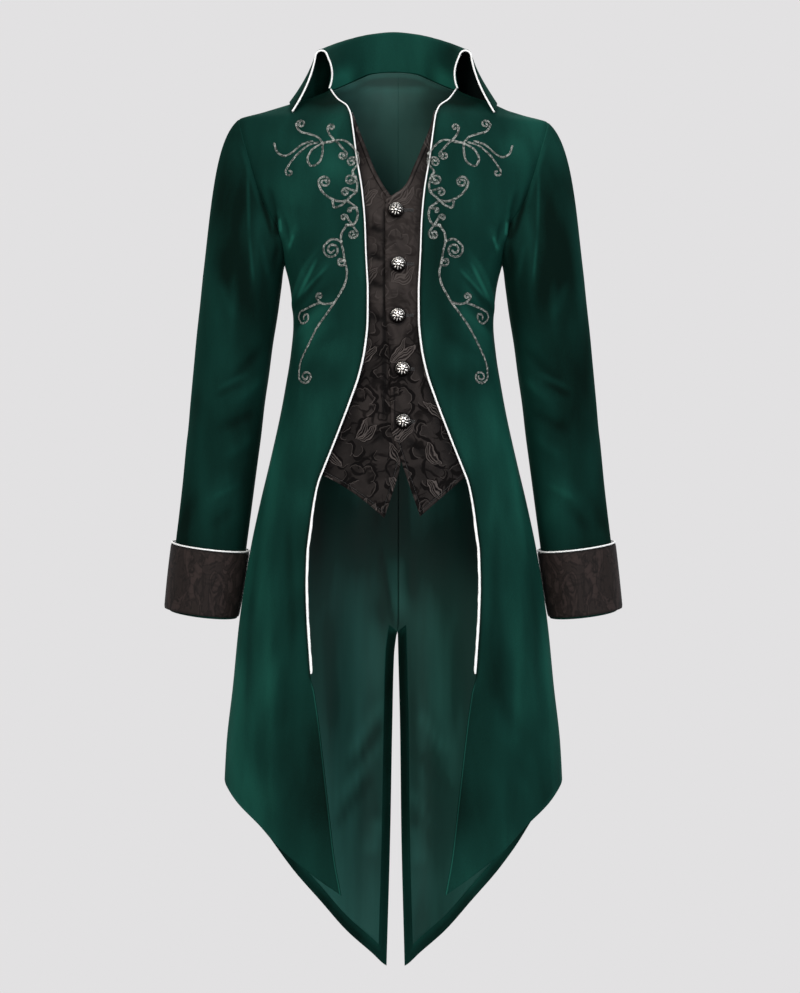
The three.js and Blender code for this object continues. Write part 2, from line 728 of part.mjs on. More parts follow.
function sleeveWall(front, back) {
  const hole = armholeRing(front, back);
  const bicep = armRing(SLEEVE[0]);
  const upArm = vector(-SLEEVE_LEAN, 0, 1).normalize();
  const rings = [];
  const centres = [];
  for (const t of HEAD_STEPS) {
    const ring = hole.map(({ point, away }, i) => {
      const turn = (2 * Math.PI * i) / SLEEVE_POINTS;
      const cosine = Math.cos(turn);
      const leave = vector(
        HEAD_WAY.out + HEAD_WAY.outMore * cosine,
        -HEAD_WAY.front * Math.sin(turn),
        HEAD_WAY.downLess * cosine - HEAD_WAY.down,
      );
      const start = point.clone().addScaledVector(away, SEAM);
      const end = bicep.ring[i];
      const length = start.distanceTo(end);
      const bend = start.clone().addScaledVector(leave.normalize(), HEAD_START * length + HEAD_ROLL);
      const settle = end.clone().addScaledVector(upArm, HEAD_END * length);
      return new THREE.CubicBezierCurve3(start, bend, settle, end).getPoint(t);
    });
    rings.push(ring);
    centres.push(middleOf(ring));
  }
  for (const section of SLEEVE) {
    const { ring, centre } = armRing(section);
    rings.push(ring);
    centres.push(centre);
  }
  return wall(walled(rings, VELVET, centres, hole.map(({ away }) => away)), true);
}

function middleOf(ring) {
  const sum = ring.reduce((total, point) => total.add(point), vector(0, 0, 0));
  return sum.divideScalar(ring.length);
}

function cuffWall() {
  const sections = CUFF.map(armRing);
  const rings = sections.map(({ ring }) => ring);
  const centres = sections.map(({ centre }) => centre);
  return wall(walled(rings, BROCADE, centres), true);
}

function cuffCord() {
  const top = CUFF[0];
  const rise = CUFF_PIPING + SEAM;
  const { ring } = armRing({
    x: top.x - SLEEVE_LEAN * rise,
    y: top.y,
    z: top.z + rise,
    wide: top.wide - BROCADE / 2,
    deep: top.deep - BROCADE / 2,
  });
  return cord(ring, CUFF_PIPING, true);
}

// The cord along the left front edge, from below the neck to where it runs out.
function frontCord(front) {
  const line = [];
  const panel = [...front].reverse();
  panel.forEach((row, i) => {
    const edge = row[0];
    if (i === 0 || edge.outside.z < CORD_END) return;
    const before = panel[i - 1][0].outside;
    const after = panel[i + 1][0].outside;
    const along = after.clone().sub(before).normalize();
    const away = edge.normal.clone().cross(along).normalize();
    if (away.dot(row[1].outside.clone().sub(edge.outside)) > 0) away.negate();
    const middle = edge.outside.clone().addScaledVector(edge.normal, -VELVET / 2);
    line.push(middle.addScaledVector(away, PIPING + SEAM));
  });
  return cord(line, PIPING);
}

// Smooth runs through the collar's sections, carried on past the nape so that it stays round.
const beyondNape = {
  ...COLLAR_SECTIONS[1],
  at: -COLLAR_SECTIONS[1].at,
  ...Object.fromEntries(['neck', 'fold', 'edge'].map((key) => {
    const [x, y, z] = COLLAR_SECTIONS[1][key];
    return [key, [-x, y, z]];
  })),
};
const collarRows = [beyondNape, ...COLLAR_SECTIONS];
const collarRoll = smooth(collarRows, 'at', 'roll');
const collarLine = (key) => {
  const [x, y, z] = [0, 1, 2].map((axis) => (
    smooth(collarRows.map((row) => ({ at: row.at, value: row[key][axis] })), 'at', 'value')
  ));
  return (at) => vector(x(at), y(at), z(at));
};
const collarNeck = collarLine('neck');
const collarFold = collarLine('fold');
const collarEdge = collarLine('edge');

// The collar's mid-line at one share of the way from the nape to the front end.
function collarProfile(at) {
  const neck = collarNeck(at).add(vector(0, 0, COLLAR_LIFT));
  const radius = collarRoll(at);
  const along = collarFold(Math.min(1, at + COLLAR_STEP)).sub(collarFold(at - COLLAR_STEP));
  along.setZ(0).normalize();
  const out = vector(-along.y, along.x, 0);
  const core = collarFold(at).add(vector(0, 0, -radius));
  const line = [neck];
  const rollStart = core.clone().addScaledVector(out, -radius);
  const stand = neck.clone().lerp(rollStart, 0.5);
  line.push(stand.addScaledVector(out, -mix(NAPE_BOW, STAND_BOW, at)));
  for (let i = 0; i <= ROLL_POINTS; i++) {
    const turn = (Math.PI * i) / ROLL_POINTS;
    const spot = core.clone().addScaledVector(out, -radius * Math.cos(turn));
    line.push(spot.add(vector(0, 0, radius * Math.sin(turn))));
  }
  const edge = pressed(collarEdge(at));
  edge.addScaledVector(normalAt(edge.x, edge.y, edge.z), COLLAR / 2 + COLLAR_REST);
  const rollEnd = line[line.length - 1];
  for (const t of [1 / 3, 2 / 3]) {
    line.push(rollEnd.clone().lerp(edge, t).addScaledVector(out, -FALL_BOW * at * at));
  }
  line.push(edge);
  return line;
}

// Outside and inside of a sheet whose mid-points are given, half the thickness each way.
function sheetWall(middle, thickness) {
  const rows = middle.length;
  const columns = middle[0].length;
  return wall(middle.map((row, r) => row.map((point, c) => {
    const across = row[Math.min(columns - 1, c + 1)].clone().sub(row[Math.max(0, c - 1)]);
    const below = middle[Math.min(rows - 1, r + 1)][c].clone();
    const down = below.sub(middle[Math.max(0, r - 1)][c]);
    const normal = across.cross(down).normalize();
    return {
      outside: point.clone().addScaledVector(normal, thickness / 2),
      inside: point.clone().addScaledVector(normal, -thickness / 2),
    };
  })));
}

function collarWall() {
  const middle = [];
  for (let step = -COLLAR_STEPS; step <= COLLAR_STEPS; step++) {
    const at = Math.abs(step) / COLLAR_STEPS;
    const profile = collarProfile(at);
    middle.push(step < 0 ? profile.map((p) => vector(-p.x, p.y, p.z)) : profile);
  }
  return sheetWall(middle, COLLAR);
}

// The cord round the collar's left front end: up the stand, over the roll, down the wing.
function collarCord() {
  const end = collarProfile(1);
  const before = collarProfile(1 - 3 * COLLAR_STEP);
  const line = end.map((point, i) => {
    const forward = point.clone().sub(before[i]);
    const last = end.length - 1;
    const along = end[Math.min(last, i + 1)].clone().sub(end[Math.max(0, i - 1)]).normalize();
    forward.addScaledVector(along, -forward.dot(along)).normalize();
    return point.clone().addScaledVector(forward, PIPING + SEAM);
  });
  return cord(line, PIPING);
}

function vestWall(table, depth) {
  const places = table.map((row) => {
    const cells = [];
    for (let column = 0; column <= VEST_COLUMNS; column++) {
      const u = column / VEST_COLUMNS;
      const z = mix(row.z, row.underZ, u) + row.bow * 4 * u * (1 - u);
      cells.push({ x: mix(row.x, row.underX, u), z });
    }
    return cells;
  });
  return wall(layer(places, 1, -1, depth, BROCADE));
}

// A domed button, seated on the cloth that lies straight behind its place.
function buttonBody({ x, z }, cloth) {
  const turned = BUTTON_PROFILE.map(({ r, h }) => new THREE.Vector2(r * BUTTON_RADIUS, h));
  const body = new THREE.LatheGeometry(turned, BUTTON_SIDES);
  const { point, normal } = clothPoint(x, z, -1);
  const inwards = normal.clone().negate();
  const [hit] = new THREE.Raycaster(point, inwards).intersectObject(new THREE.Mesh(cloth));
  const seat = hit.point.clone().addScaledVector(normal, SEAM);
  body.applyQuaternion(new THREE.Quaternion().setFromUnitVectors(vector(0, 1, 0), normal));
  body.translate(seat.x, seat.y, seat.z);
  return body;
}

const finish = (color, roughness, metalness = 0) => (
  new THREE.MeshStandardMaterial({ color, roughness, metalness })
);
const VELVET_FINISH = finish('#14402f', 0.85);
const BROCADE_FINISH = finish('#2b2827', 0.7);
const SATIN_FINISH = finish('#2a4840', 0.45);
const CORD_FINISH = finish('#e9e9e6', 0.5);
const METAL_FINISH = finish('#8b8f90', 0.35, 0.9);

const coat = new THREE.Group();
function piece(name, geometry, material) {
  const mesh = new THREE.Mesh(geometry, material);
  mesh.name = name;
  coat.add(mesh);
}
function pair(name, geometry, material) {
  piece(`${name}_left`, geometry, material);
  piece(`${name}_right`, mirrored(geometry), material);
}

const front = layer(frontPlaces(), 1, -1, 0, VELVET);
pair('front', wall(front), VELVET_FINISH);
pair('front_piping', frontCord(front), CORD_FINISH);

// The lining leaves a velvet border along the hem and the vent.
const liningKeeps = (row, column) => row >= 1 && (column >= 1 || row > TAIL_ROWS);
for (const [name, hand] of [['left', 1], ['right', -1]]) {
  const places = backPlaces(hand);
  piece(`back_${name}`, wall(layer(places, hand, 1, 0, VELVET)), VELVET_FINISH);
  const lining = layer(places, hand, 1, VELVET + SEAM, LINING);
  piece(`back_lining_${name}`, wall(lining, false, liningKeeps), SATIN_FINISH);
}

const leftBack = layer(backPlaces(1), 1, 1, 0, VELVET);
pair('sleeve', sleeveWall(front, leftBack), VELVET_FINISH);
pair('cuff', cuffWall(), BROCADE_FINISH);
pair('cuff_piping', cuffCord(), CORD_FINISH);

piece('collar', collarWall(), VELVET_FINISH);
pair('collar_piping', collarCord(), CORD_FINISH);

const vestLeft = vestWall(VEST_LEFT, VEST_LEFT_DEPTH);
piece('vest_left', vestLeft, BROCADE_FINISH);
piece('vest_right', vestWall(VEST_RIGHT, VEST_RIGHT_DEPTH), BROCADE_FINISH);
BUTTONS.forEach((place, i) => piece(`button_${i + 1}`, buttonBody(place, vestLeft), METAL_FINISH));

export default coat;
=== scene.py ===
import math

import bpy
import numpy as np
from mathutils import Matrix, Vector


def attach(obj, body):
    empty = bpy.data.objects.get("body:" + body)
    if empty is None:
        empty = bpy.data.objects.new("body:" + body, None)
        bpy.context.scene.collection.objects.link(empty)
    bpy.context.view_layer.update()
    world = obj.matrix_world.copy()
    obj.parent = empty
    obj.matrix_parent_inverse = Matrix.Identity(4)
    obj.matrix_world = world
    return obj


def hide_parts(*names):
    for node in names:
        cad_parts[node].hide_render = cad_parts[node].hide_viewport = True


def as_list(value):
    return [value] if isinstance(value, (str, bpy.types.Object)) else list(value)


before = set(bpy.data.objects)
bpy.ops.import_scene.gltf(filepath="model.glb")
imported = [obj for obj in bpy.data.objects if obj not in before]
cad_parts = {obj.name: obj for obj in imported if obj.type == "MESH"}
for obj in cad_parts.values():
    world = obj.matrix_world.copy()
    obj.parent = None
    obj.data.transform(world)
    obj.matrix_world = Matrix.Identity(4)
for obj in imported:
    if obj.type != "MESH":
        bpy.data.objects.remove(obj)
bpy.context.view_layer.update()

BODY = "root"

# Places and sizes are in millimetres, in the frame of the solids, and made metres in the meshes.
MM = 0.001

# The wearer's left and right hand, by the sign of x.
HANDS = ((1, "left"), (-1, "right"))

# Thickness of each cloth, the cord in the edges, and the space left along a seam.
VELVET = 2
BROCADE = 1.6
LINING = 1
COLLAR = 2.4
PIPING = 1.42
CUFF_PIPING = 1.25
CUFF_CORD_RISE = 2
SEAM = 0.3
TOUCH = 0.04


def table(columns, rows):
    names = columns.split()
    return [dict(zip(names, row)) for row in rows]


# Sections of the figure under the cloth, from the neck down to the tails.
# half is half the width, front and back are the depths, round is the section's power.
FIGURE = table("z half front back round", [
    (60, 76, 8, 71, 2),
    (49, 77, 9, 75, 2),
    (30, 78.5, 14, 82, 2),
    (22, 81, 20, 84, 1.98),
    (18, 84.5, 24, 85, 1.95),
    (12, 92, 30, 86, 1.88),
    (5, 109, 37, 88, 1.82),
    (-5, 141, 47, 91, 1.78),
    (-16, 177, 58, 95, 1.78),
    (-27, 212, 68, 99, 1.8),
    (-60, 215, 86, 108, 1.92),
    (-102, 206, 101, 115, 2.02),
    (-140, 191, 109, 118, 2.12),
    (-180, 170, 115, 116, 2.2),
    (-224, 148, 117, 108, 2.25),
    (-264, 139, 113, 98, 2.3),
    (-305, 136, 108, 90, 2.3),
    (-345, 139.5, 106, 90, 2.3),
    (-386, 146, 107, 96, 2.3),
    (-427, 153.5, 110, 105, 2.3),
    (-488, 167, 114, 117, 2.3),
    (-549, 181.5, 119, 126, 2.25),
    (-611, 194.5, 124, 131, 2.25),
    (-713, 210, 130, 137, 2.2),
    (-794, 218, 135, 142, 2.2),
    (-876, 227, 139, 147, 2.2),
    (-940, 230, 142, 150, 2.2),
    (-1062, 232, 146, 154, 2.2),
    (-1200, 233, 150, 158, 2.2),
])

# Half the gap between the two front edges, cord included, from the neck to the point.
OPENING = table("z x", [
    (19, 85.5), (1, 74), (-11, 61), (-24, 55.6), (-46, 52.2), (-88, 46.7), (-132, 39.7),
    (-175, 35.9), (-212, 34.6), (-268, 32.4), (-304, 32.8), (-341, 36.5), (-377, 44.3),
    (-406, 54.2), (-466, 77), (-500, 90.7), (-520, 98.3), (-549, 104.4), (-582, 108.8),
    (-615, 112.5), (-654, 113.3), (-699, 111.8), (-741, 109), (-774, 106.5), (-838, 97.7),
    (-951, 84.4), (-1016, 76.5), (-1062, 68), (-1110, 60),
])

# The hems, from each point to the side seam.
FRONT_HEM = table("x z", [
    (60, -1068), (68, -1062), (97, -1043), (117, -1028), (172, -982), (209, -949), (229, -925),
])
BACK_HEM = table("x z", [
    (-20, -1209), (10, -1201), (31, -1183), (66, -1151), (101, -1111), (136, -1068),
    (170, -1016), (181, -1000), (208, -962), (229, -925),
])

# The armhole, by height: how far the front and the back panel reach sideways.
ARMPIT = -222
SHOULDER_TIP = 210
ARMHOLE = table("z front back", [
    (-214, 148.2, 148.4),
    (-200, 150, 151.5),
    (-174, 157.4, 161),
    (-143, 175.2, 178),
    (-107, 187.4, 191),
    (-70, 198, 201),
    (-40, 206.5, 207.5),
])

# The back's neckline, the centre back seam and the vent below it.
NAPE = 49.5
NECKLINE = table("x z", [(-6, 49.5), (6, 49.5), (30, 46.5), (48, 38.5), (64, 29.5), (76, 22)])
CENTRE_SEAM = 5.5
VENT_TOP = -728
VENT = table("z right left", [
    (-1201, -10, 15.5),
    (-1010, -4.6, 10.8),
    (-860, -1.8, 9),
    (-760, 0.8, 6.5),
    (-728, 4.6, 5.8),
])
TAIL_WIDER = 6
TAIL_WIDER_TO = 205
TAIL_WIDER_OVER = 40
VENT_BORDER = 12
SIDE_AT_VENT = -640
HEM_BORDER = 21
CORD_END = -774
CORD_FADE = 25

# Soft hanging folds of the skirts: place as a share of the half width, depth and spread.
SKIRT_FOLDS = table("side share depth spread top full", [
    (1, -0.7, 6, 0.13, -520, -1000),
    (1, -0.42, -8, 0.12, -480, -950),
    (1, -0.16, 5, 0.1, -560, -1000),
    (1, 0.2, 6, 0.1, -540, -980),
    (1, 0.47, -7, 0.12, -500, -960),
    (1, 0.74, 5, 0.12, -520, -1000),
    (-1, -0.8, -4, 0.1, -560, -940),
    (-1, -0.62, 5, 0.1, -520, -940),
    (-1, 0.6, 5, 0.1, -540, -960),
    (-1, 0.79, -4, 0.1, -560, -940),
])

# Creases of the body: a line from one place to another as the coat is seen
# from that side, how wide it is and how far it stands out (below zero: how deep it is).
CREASES = table("side x1 z1 x2 z2 wide lift", [
    # from the waist's side up towards the chest, wearer's right then left
    (-1, -141, -296, -88, -196, 5, 2.8),
    (-1, -137, -304, -84, -218, 5, -2.2),
    (-1, -138, -292, -70, -216, 5, 2.4),
    (-1, -134, -318, -66, -246, 8, -2.4),
    (-1, -136, -330, -58, -272, 8, 2.2),
    (-1, -128, -352, -56, -312, 10, -2),
    (-1, -122, -392, -62, -350, 14, 1.6),
    (-1, 141, -298, 90, -202, 5, 2.6),
    (-1, 137, -308, 86, -224, 5, -2.2),
    (-1, 138, -296, 72, -222, 5, 2.4),
    (-1, 134, -322, 68, -252, 8, -2.2),
    (-1, 136, -334, 62, -278, 8, 2.2),
    (-1, 128, -356, 58, -318, 10, -2),
    (-1, 122, -396, 64, -352, 14, 1.6),
    # beside the armholes
    (-1, -168, -118, -150, -188, 7, -3),
    (-1, -156, -150, -148, -196, 5, 2.8),
    (-1, -148, -160, -134, -214, 5, -2),
    (-1, -143, -212, -124, -172, 5, 2.2),
    (-1, 168, -122, 150, -192, 7, -3),
    (-1, 156, -154, 148, -200, 5, 2.8),
    (-1, 148, -164, 134, -216, 5, -2),
    (-1, 143, -214, 124, -176, 5, 2.2),
    # down the skirts
    (-1, -150, -420, -176, -640, 16, 2),
    (-1, -128, -520, -150, -900, 18, -2.2),
    (-1, 150, -430, 178, -650, 16, 2),
    (-1, 128, -520, 152, -880, 18, -2.2),
    (-1, -178, -560, -206, -900, 16, -2),
    (-1, 178, -570, 206, -890, 16, -2),
    # across the back: waist, shoulder blades and the seat
    (1, -128, -262, -66, -316, 8, -2.2),
    (1, -132, -296, -52, -340, 8, 2),
    (1, -134, -330, -60, -356, 10, -2),
    (1, 128, -270, 64, -322, 8, -2.2),
    (1, 132, -300, 54, -338, 8, 2),
    (1, 134, -336, 62, -362, 10, -2),
    (1, -172, -118, -144, -204, 8, -2.6),
    (1, 172, -124, 144, -208, 8, -2.6),
    (1, -150, -90, -96, -170, 14, 2),
    (1, 150, -96, 98, -176, 14, 2),
    (1, 30, -380, 52, -640, 16, 2.2),
    (1, -34, -390, -56, -620, 16, 2.2),
    (1, 92, -420, 122, -700, 18, -2.4),
    (1, -90, -410, -120, -720, 18, -2.4),
    (1, 8, -600, 10, -724, 8, 2.6),
])

# The sleeve's sections below the armhole: centre, half width and half depth.
SLEEVE = table("z x y wide deep", [
    (-246, 205.5, 0, 53.9, 67),
    (-284, 210.1, 2, 53.3, 65),
    (-325, 215.9, 6, 52.3, 62),
    (-366, 220.7, 10, 51.6, 60),
    (-407, 225.8, 13, 50.6, 58),
    (-448, 230.2, 15, 50.3, 55),
    (-488, 234.9, 17, 49.6, 53),
    (-529, 239.7, 19, 48.9, 51),
    (-570, 244.8, 20, 48.6, 50),
    (-608, 249.7, 21, 48.4, 49),
    (-655, 254.9, 21, 47.8, 48),
    (-698, 259.7, 21, 46.9, 47.5),
])
SLEEVE_LEAN = 0.1213

# How the sleeve's head leaves the armhole and settles into its first section.
HEAD_START = 0.18
HEAD_END = 0.45
HEAD_ROLL = 2
HEAD_WAY = {"out": 0.52, "out_more": 0.28, "front": 0.42, "down": 0.78, "down_less": 0.18}

# Creases of the sleeves: turn is degrees round the arm from the outside by the front.
SLEEVE_CREASES = table("hand turn1 z1 turn2 z2 wide lift", [
    (0, 96, -110, 118, -300, 7, 2.4),
    (0, 60, -96, 84, -262, 8, -2.2),
    (0, 128, -150, 146, -250, 6, -2.6),
    (0, 74, -180, 92, -340, 6, 1.8),
    (0, 20, -120, 40, -300, 12, 1.6),
    (0, 150, -330, 84, -392, 8, -2),
    (0, 156, -372, 96, -420, 8, 2),
    (0, 152, -420, 76, -452, 9, -2.2),
    (0, 150, -452, 92, -490, 9, 1.8),
    (0, 40, -380, 10, -470, 14, -1.6),
    (0, 120, -500, 70, -560, 12, 1.6),
    (0, 60, -520, 30, -600, 12, -1.6),
    (0, 232, -140, 262, -300, 9, -2.4),
    (0, 262, -120, 286, -280, 9, 2),
    (0, 214, -360, 292, -410, 10, 2),
    (0, 206, -400, 286, -452, 10, -2.2),
    (0, 220, -470, 300, -520, 12, 1.8),
    (0, 316, -180, 332, -380, 14, -1.6),
    (1, 110, -540, 60, -590, 9, -1.6),
    (-1, 130, -548, 84, -584, 9, -1.6),
    (1, 36, -240, 60, -340, 10, 1.6),
    (-1, 44, -220, 70, -330, 10, 1.6),
])

# The turned-up cuff: its sections from the piped top edge to the hem.
CUFF = table("z x y wide deep", [
    (-608, 250.2, 21, 54, 53.5),
    (-640, 254.4, 21, 53.4, 52.5),
    (-672, 258.6, 21, 52.6, 51.2),
    (-695, 262, 21, 51.6, 49.9),
])

# How far the cuff tilts forward, the sleeve is pressed in under the arm and tucked into its
# armhole, the collar is set down on the neck, and the wearer's left shoulder hangs lower.
CUFF_TILT = 4
UNDERARM = 3
TUCKED = 0.8
COLLAR_SET = 0.8
SHOULDER_DROP = 4.2

# The collar from the nape to its front end: where the stand is sewn on, the top of the roll
# with its radius, and the place near which the fall's edge rests.
COLLAR_SECTIONS = table("at neck fold roll edge", [
    (0, (0, 75, 49.5), (0, 81, 106), 4, (0, 86, 12)),
    (0.22, (30, 70, 46.5), (33, 76, 102), 4.2, (38, 78.5, 9.5)),
    (0.42, (54, 58, 35.5), (62, 62, 93), 4.6, (78, 58, 5)),
    (0.62, (72, 36, 24.5), (84, 40, 82), 5.4, (110, 36, 0)),
    (0.8, (84, 13, 17), (95, 14, 73), 6.4, (133, 12, -3)),
    (0.92, (88, 0, 15.5), (98, -4, 69), 7.4, (139, -16, -8)),
    (1, (87, -8, 15.5), (97.5, -12, 67), 8, (136, -44, -22.5)),
])

# How high the stand starts, how far the fall rests off the coat, and how the two bow.
COLLAR_LIFT = 1.4
COLLAR_REST = 1.3
NAPE_BOW = 1.2
STAND_BOW = 5
FALL_BOW = 4
COLLAR_STEP = 0.02

# The waistcoat fronts, a row for each section: the free edge, then the end under the front.
# bow lifts the middle of the row. A row with a corner starts a new edge.
VEST_LEFT_DEPTH = 3.8
VEST_RIGHT_DEPTH = 6.4
VEST_LEFT = table("x z under_x under_z bow corner", [
    (55, -18, 92, -14, 0, 1),
    (50.4, -39, 93, -42, 0, 0),
    (39.6, -69, 88, -72, 0, 0),
    (26.9, -100, 83, -104, 0, 0),
    (16.3, -124, 79, -130, 0, 0),
    (3.7, -135, 77, -148, 0, 0),
    (-10.9, -143, 76, -164, 0, 1),
    (-10.9, -180, 75, -192, 0, 0),
    (-10.9, -228, 74, -230, 0, 0),
    (-10.9, -278, 73, -278, 0, 0),
    (-8, -320, 76, -318, 0, 0),
    (-4.9, -357, 84, -352, 0, 0),
    (-3.6, -405, 102, -395, 0, 0),
    (-3, -449, 114, -430, 0, 1),
    (9, -486, 119, -452, 0, 0),
    (22, -524, 121, -471, 0, 0),
    (36, -564, 123, -489, 0, 1),
])
VEST_RIGHT = table("x z under_x under_z bow corner", [
    (-55, -18, -92, -14, 0, 1),
    (-48, -40, -93, -42, 0, 0),
    (-37.5, -68, -88, -72, 0, 0),
    (-25.5, -100, -83, -104, 0, 0),
    (-13, -124, -79, -130, 0, 0),
    (2, -145, -77, -150, 0, 0),
    (12, -160, -76, -168, 0, 1),
    (12, -190, -75, -192, 0, 0),
    (12, -230, -74, -230, 0, 0),
    (12, -278, -73, -278, 0, 0),
    (12, -320, -76, -318, 0, 0),
    (12, -357, -84, -352, 0, 0),
    (13, -405, -102, -395, 0, 0),
    (13, -449, -114, -430, 2, 1),
    (10.5, -490, -119, -458, 4, 0),
    (0, -530, -121, -480, 7, 0),
    (-12, -566, -123, -500, 9, 1),
])

BUTTON_RADIUS = 10.3
BUTTONS = table("x z", [(3.6, -158.5), (7, -231), (6.1, -298.5), (12.3, -369), (13.3, -438.5)])


# Curves and the figure

# Rounds of the search for a root, the soft end of a crease as a share of its length, and how
# near to a side seam creases die out.
HALVINGS = 46
CREASE_END = 0.35
CREASE_FREE_OF_SEAM = 14


def smooth(rows, key, column):
    """A reader of one column that runs smoothly through its rows and never overshoots them."""
    rows = sorted(rows, key=lambda row: row[key])
    at = np.array([row[key] for row in rows], float)
    value = np.array([row[column] for row in rows], float)
    step = np.diff(at)
    rise = np.diff(value) / step
    slope = np.zeros(len(at))
    slope[0], slope[-1] = rise[0], rise[-1]
    for i in range(1, len(at) - 1):
        if rise[i - 1] * rise[i] > 0:
            before = 2 * step[i] + step[i - 1]
            after = step[i] + 2 * step[i - 1]
            slope[i] = (before + after) / (before / rise[i - 1] + after / rise[i])

    def read(place):
        p = np.clip(place, at[0], at[-1])
        i = np.clip(np.searchsorted(at, p, side="right") - 1, 0, len(step) - 1)
        t = (p - at[i]) / step[i]
        start = (1 + 2 * t) * (1 - t) ** 2 * value[i] + t * (1 - t) ** 2 * step[i] * slope[i]
        end = t ** 2 * (3 - 2 * t) * value[i + 1] + t ** 2 * (t - 1) * step[i] * slope[i + 1]
        return start + end

    return read


half_width = smooth(FIGURE, "z", "half")
front_depth = smooth(FIGURE, "z", "front")
back_depth = smooth(FIGURE, "z", "back")
roundness = smooth(FIGURE, "z", "round")
opening = smooth(OPENING, "z", "x")
front_hem = smooth(FRONT_HEM, "x", "z")
back_hem = smooth(BACK_HEM, "x", "z")


def mix(a, b, t):
    return a + (b - a) * t


def ramp(t):
    t = np.clip(t, 0, 1)
    return t * t * (3 - 2 * t)


def unit(v):
    return v / np.maximum(np.linalg.norm(v, axis=-1, keepdims=True), 1e-12)


def bell(value, at, wide):
    """1 where a value is at a place, and softly less away from it."""
    return np.exp(-((value - at) / wide) ** 2)


def crossing(f, low, high):
    """The roots of a function that is above zero at low and below zero at high."""
    low = np.array(low, float)
    high = np.array(high, float)
    for _ in range(HALVINGS):
        middle = (low + high) / 2
        above = f(middle) > 0
        low = np.where(above, middle, low)
        high = np.where(above, high, middle)
    return (low + high) / 2


def reach(x, y, z):
    """How far out of its section a point lies: under 1 inside the figure, 1 on it."""
    depth = np.where(y < 0, front_depth(z), back_depth(z))
    power = roundness(z)
    return np.abs(x / half_width(z)) ** power + np.abs(y / depth) ** power


def depth_at(x, z, side):
    power = roundness(z)
    left = np.maximum(0, 1 - np.abs(x / half_width(z)) ** power)
    depth = front_depth(z) if side < 0 else back_depth(z)
    return side * depth * left ** (1 / power)


def normal_at(x, y, z):
    power = roundness(z)
    half = half_width(z)
    depth = np.where(y < 0, front_depth(z), back_depth(z))
    nx = power / half * np.abs(x / half) ** (power - 1) * np.sign(x)
    ny = power / depth * np.abs(y / depth) ** (power - 1) * np.sign(y)
    nz = reach(x, y, z + 0.5) - reach(x, y, z - 0.5)
    return unit(np.stack([nx, ny, nz], -1))


def fold_lift(x, z, side):
    lift = np.zeros(np.shape(x))
    for fold in SKIRT_FOLDS:
        if fold["side"] == side:
            share = x / half_width(z)
            full = ramp((fold["top"] - z) / (fold["top"] - fold["full"]))
            lift = lift + fold["depth"] * bell(share, fold["share"], fold["spread"]) * full
    return lift


def round_figure(x, z, side):
    """Distance round the figure from its middle, so that creases keep their width at the sides."""
    share = np.clip(np.abs(x) / half_width(z), 0, 1)
    turn = np.arcsin(share ** (roundness(z) / 2))
    depth = front_depth(z) if side < 0 else back_depth(z)
    return np.sign(x) * turn * np.sqrt((half_width(z) ** 2 + depth ** 2) / 2)


def crease(s, z, start, end, row, past=0.0):
    """The height of one soft crease along a line, full in its middle and gone at its ends."""
    ds, dz = end[0] - start[0], end[1] - start[1]
    length = math.hypot(ds, dz)
    t = ((s - start[0]) * ds + (z - start[1]) * dz) / length / length
    across = ((s - start[0]) * dz - (z - start[1]) * ds) / length
    ends = ramp((t + past) / CREASE_END) * ramp((1 + past - t) / CREASE_END)
    return row["lift"] * ends * bell(across, 0, row["wide"])


def crease_lift(x, z, side):
    s = round_figure(x, z, side)
    to_seam = np.abs(round_figure(half_width(z), z, side)) - np.abs(s)
    lift = np.zeros(np.shape(x))
    for row in CREASES:
        if row["side"] == side:
            ends = [(np.float64(row["x" + end]), np.float64(row["z" + end])) for end in "12"]
            start, end = [(round_figure(across, height, side), height) for across, height in ends]
            lift = lift + crease(s, z, start, end, row)
    return lift * ramp(to_seam / CREASE_FREE_OF_SEAM)


def figure_point(x, z, side):
    return np.stack([x, depth_at(x, z, side), z], -1)


def cloth_point(x, z, side, creased=True):
    """Places on the cloth's outside and the way out of it there."""
    x, z = np.broadcast_arrays(np.asarray(x, float), np.asarray(z, float))
    y = depth_at(x, z, side)
    normal = normal_at(x, y, z)
    lift = fold_lift(x, z, side)
    if creased:
        lift = lift + crease_lift(x, z, side)
    point = np.stack([x, y, z], -1) + normal * lift[..., None]
    point[..., 1] = side * np.maximum(side * point[..., 1], TOUCH / 2)
    return point, normal


def ridge(x):
    return crossing(lambda z: half_width(z) - x, np.full(np.shape(x), -60), np.full(np.shape(x), 60))


def angle_at(x, z):
    share = np.minimum(1, np.abs(x / half_width(z)))
    return np.arccos(np.sign(x) * share ** (roundness(z) / 2))


def across_at(angle, z):
    cosine = np.cos(angle)
    return half_width(z) * np.sign(cosine) * np.abs(cosine) ** (2 / roundness(z))


def front_edge(z):
    """The velvet's own front edge, set back by the cord that is sewn into it."""
    slope = opening(z + 1) - opening(z - 1)
    cord = ramp((z - CORD_END) / CORD_FADE + 1)
    return opening(z) + cord * (2 * PIPING + TOUCH) * np.hypot(1, slope / 2)


NECK_POINT = float(crossing(lambda z: half_width(z) - front_edge(z), -10, 19))
SHOULDER_END = float(ridge(np.float64(SHOULDER_TIP)))


def armhole(column):
    ends = [
        {"z": ARMPIT, column: float(half_width(ARMPIT))},
        {"z": SHOULDER_END, column: SHOULDER_TIP},
    ]
    return smooth(ARMHOLE + ends, "z", column)


# Grids of cloth

SAMPLES = 193
PRESS_DROP = 60
PRESS_REACH = (0.3, 2.0)


def run_of(points, axis=0):
    """Lengths run along one axis of a grid of points, from 0."""
    steps = np.linalg.norm(np.diff(points, axis=axis), axis=-1)
    start = np.zeros_like(np.take(steps, [0], axis=axis))
    return np.concatenate([start, np.cumsum(steps, axis=axis)], axis=axis)


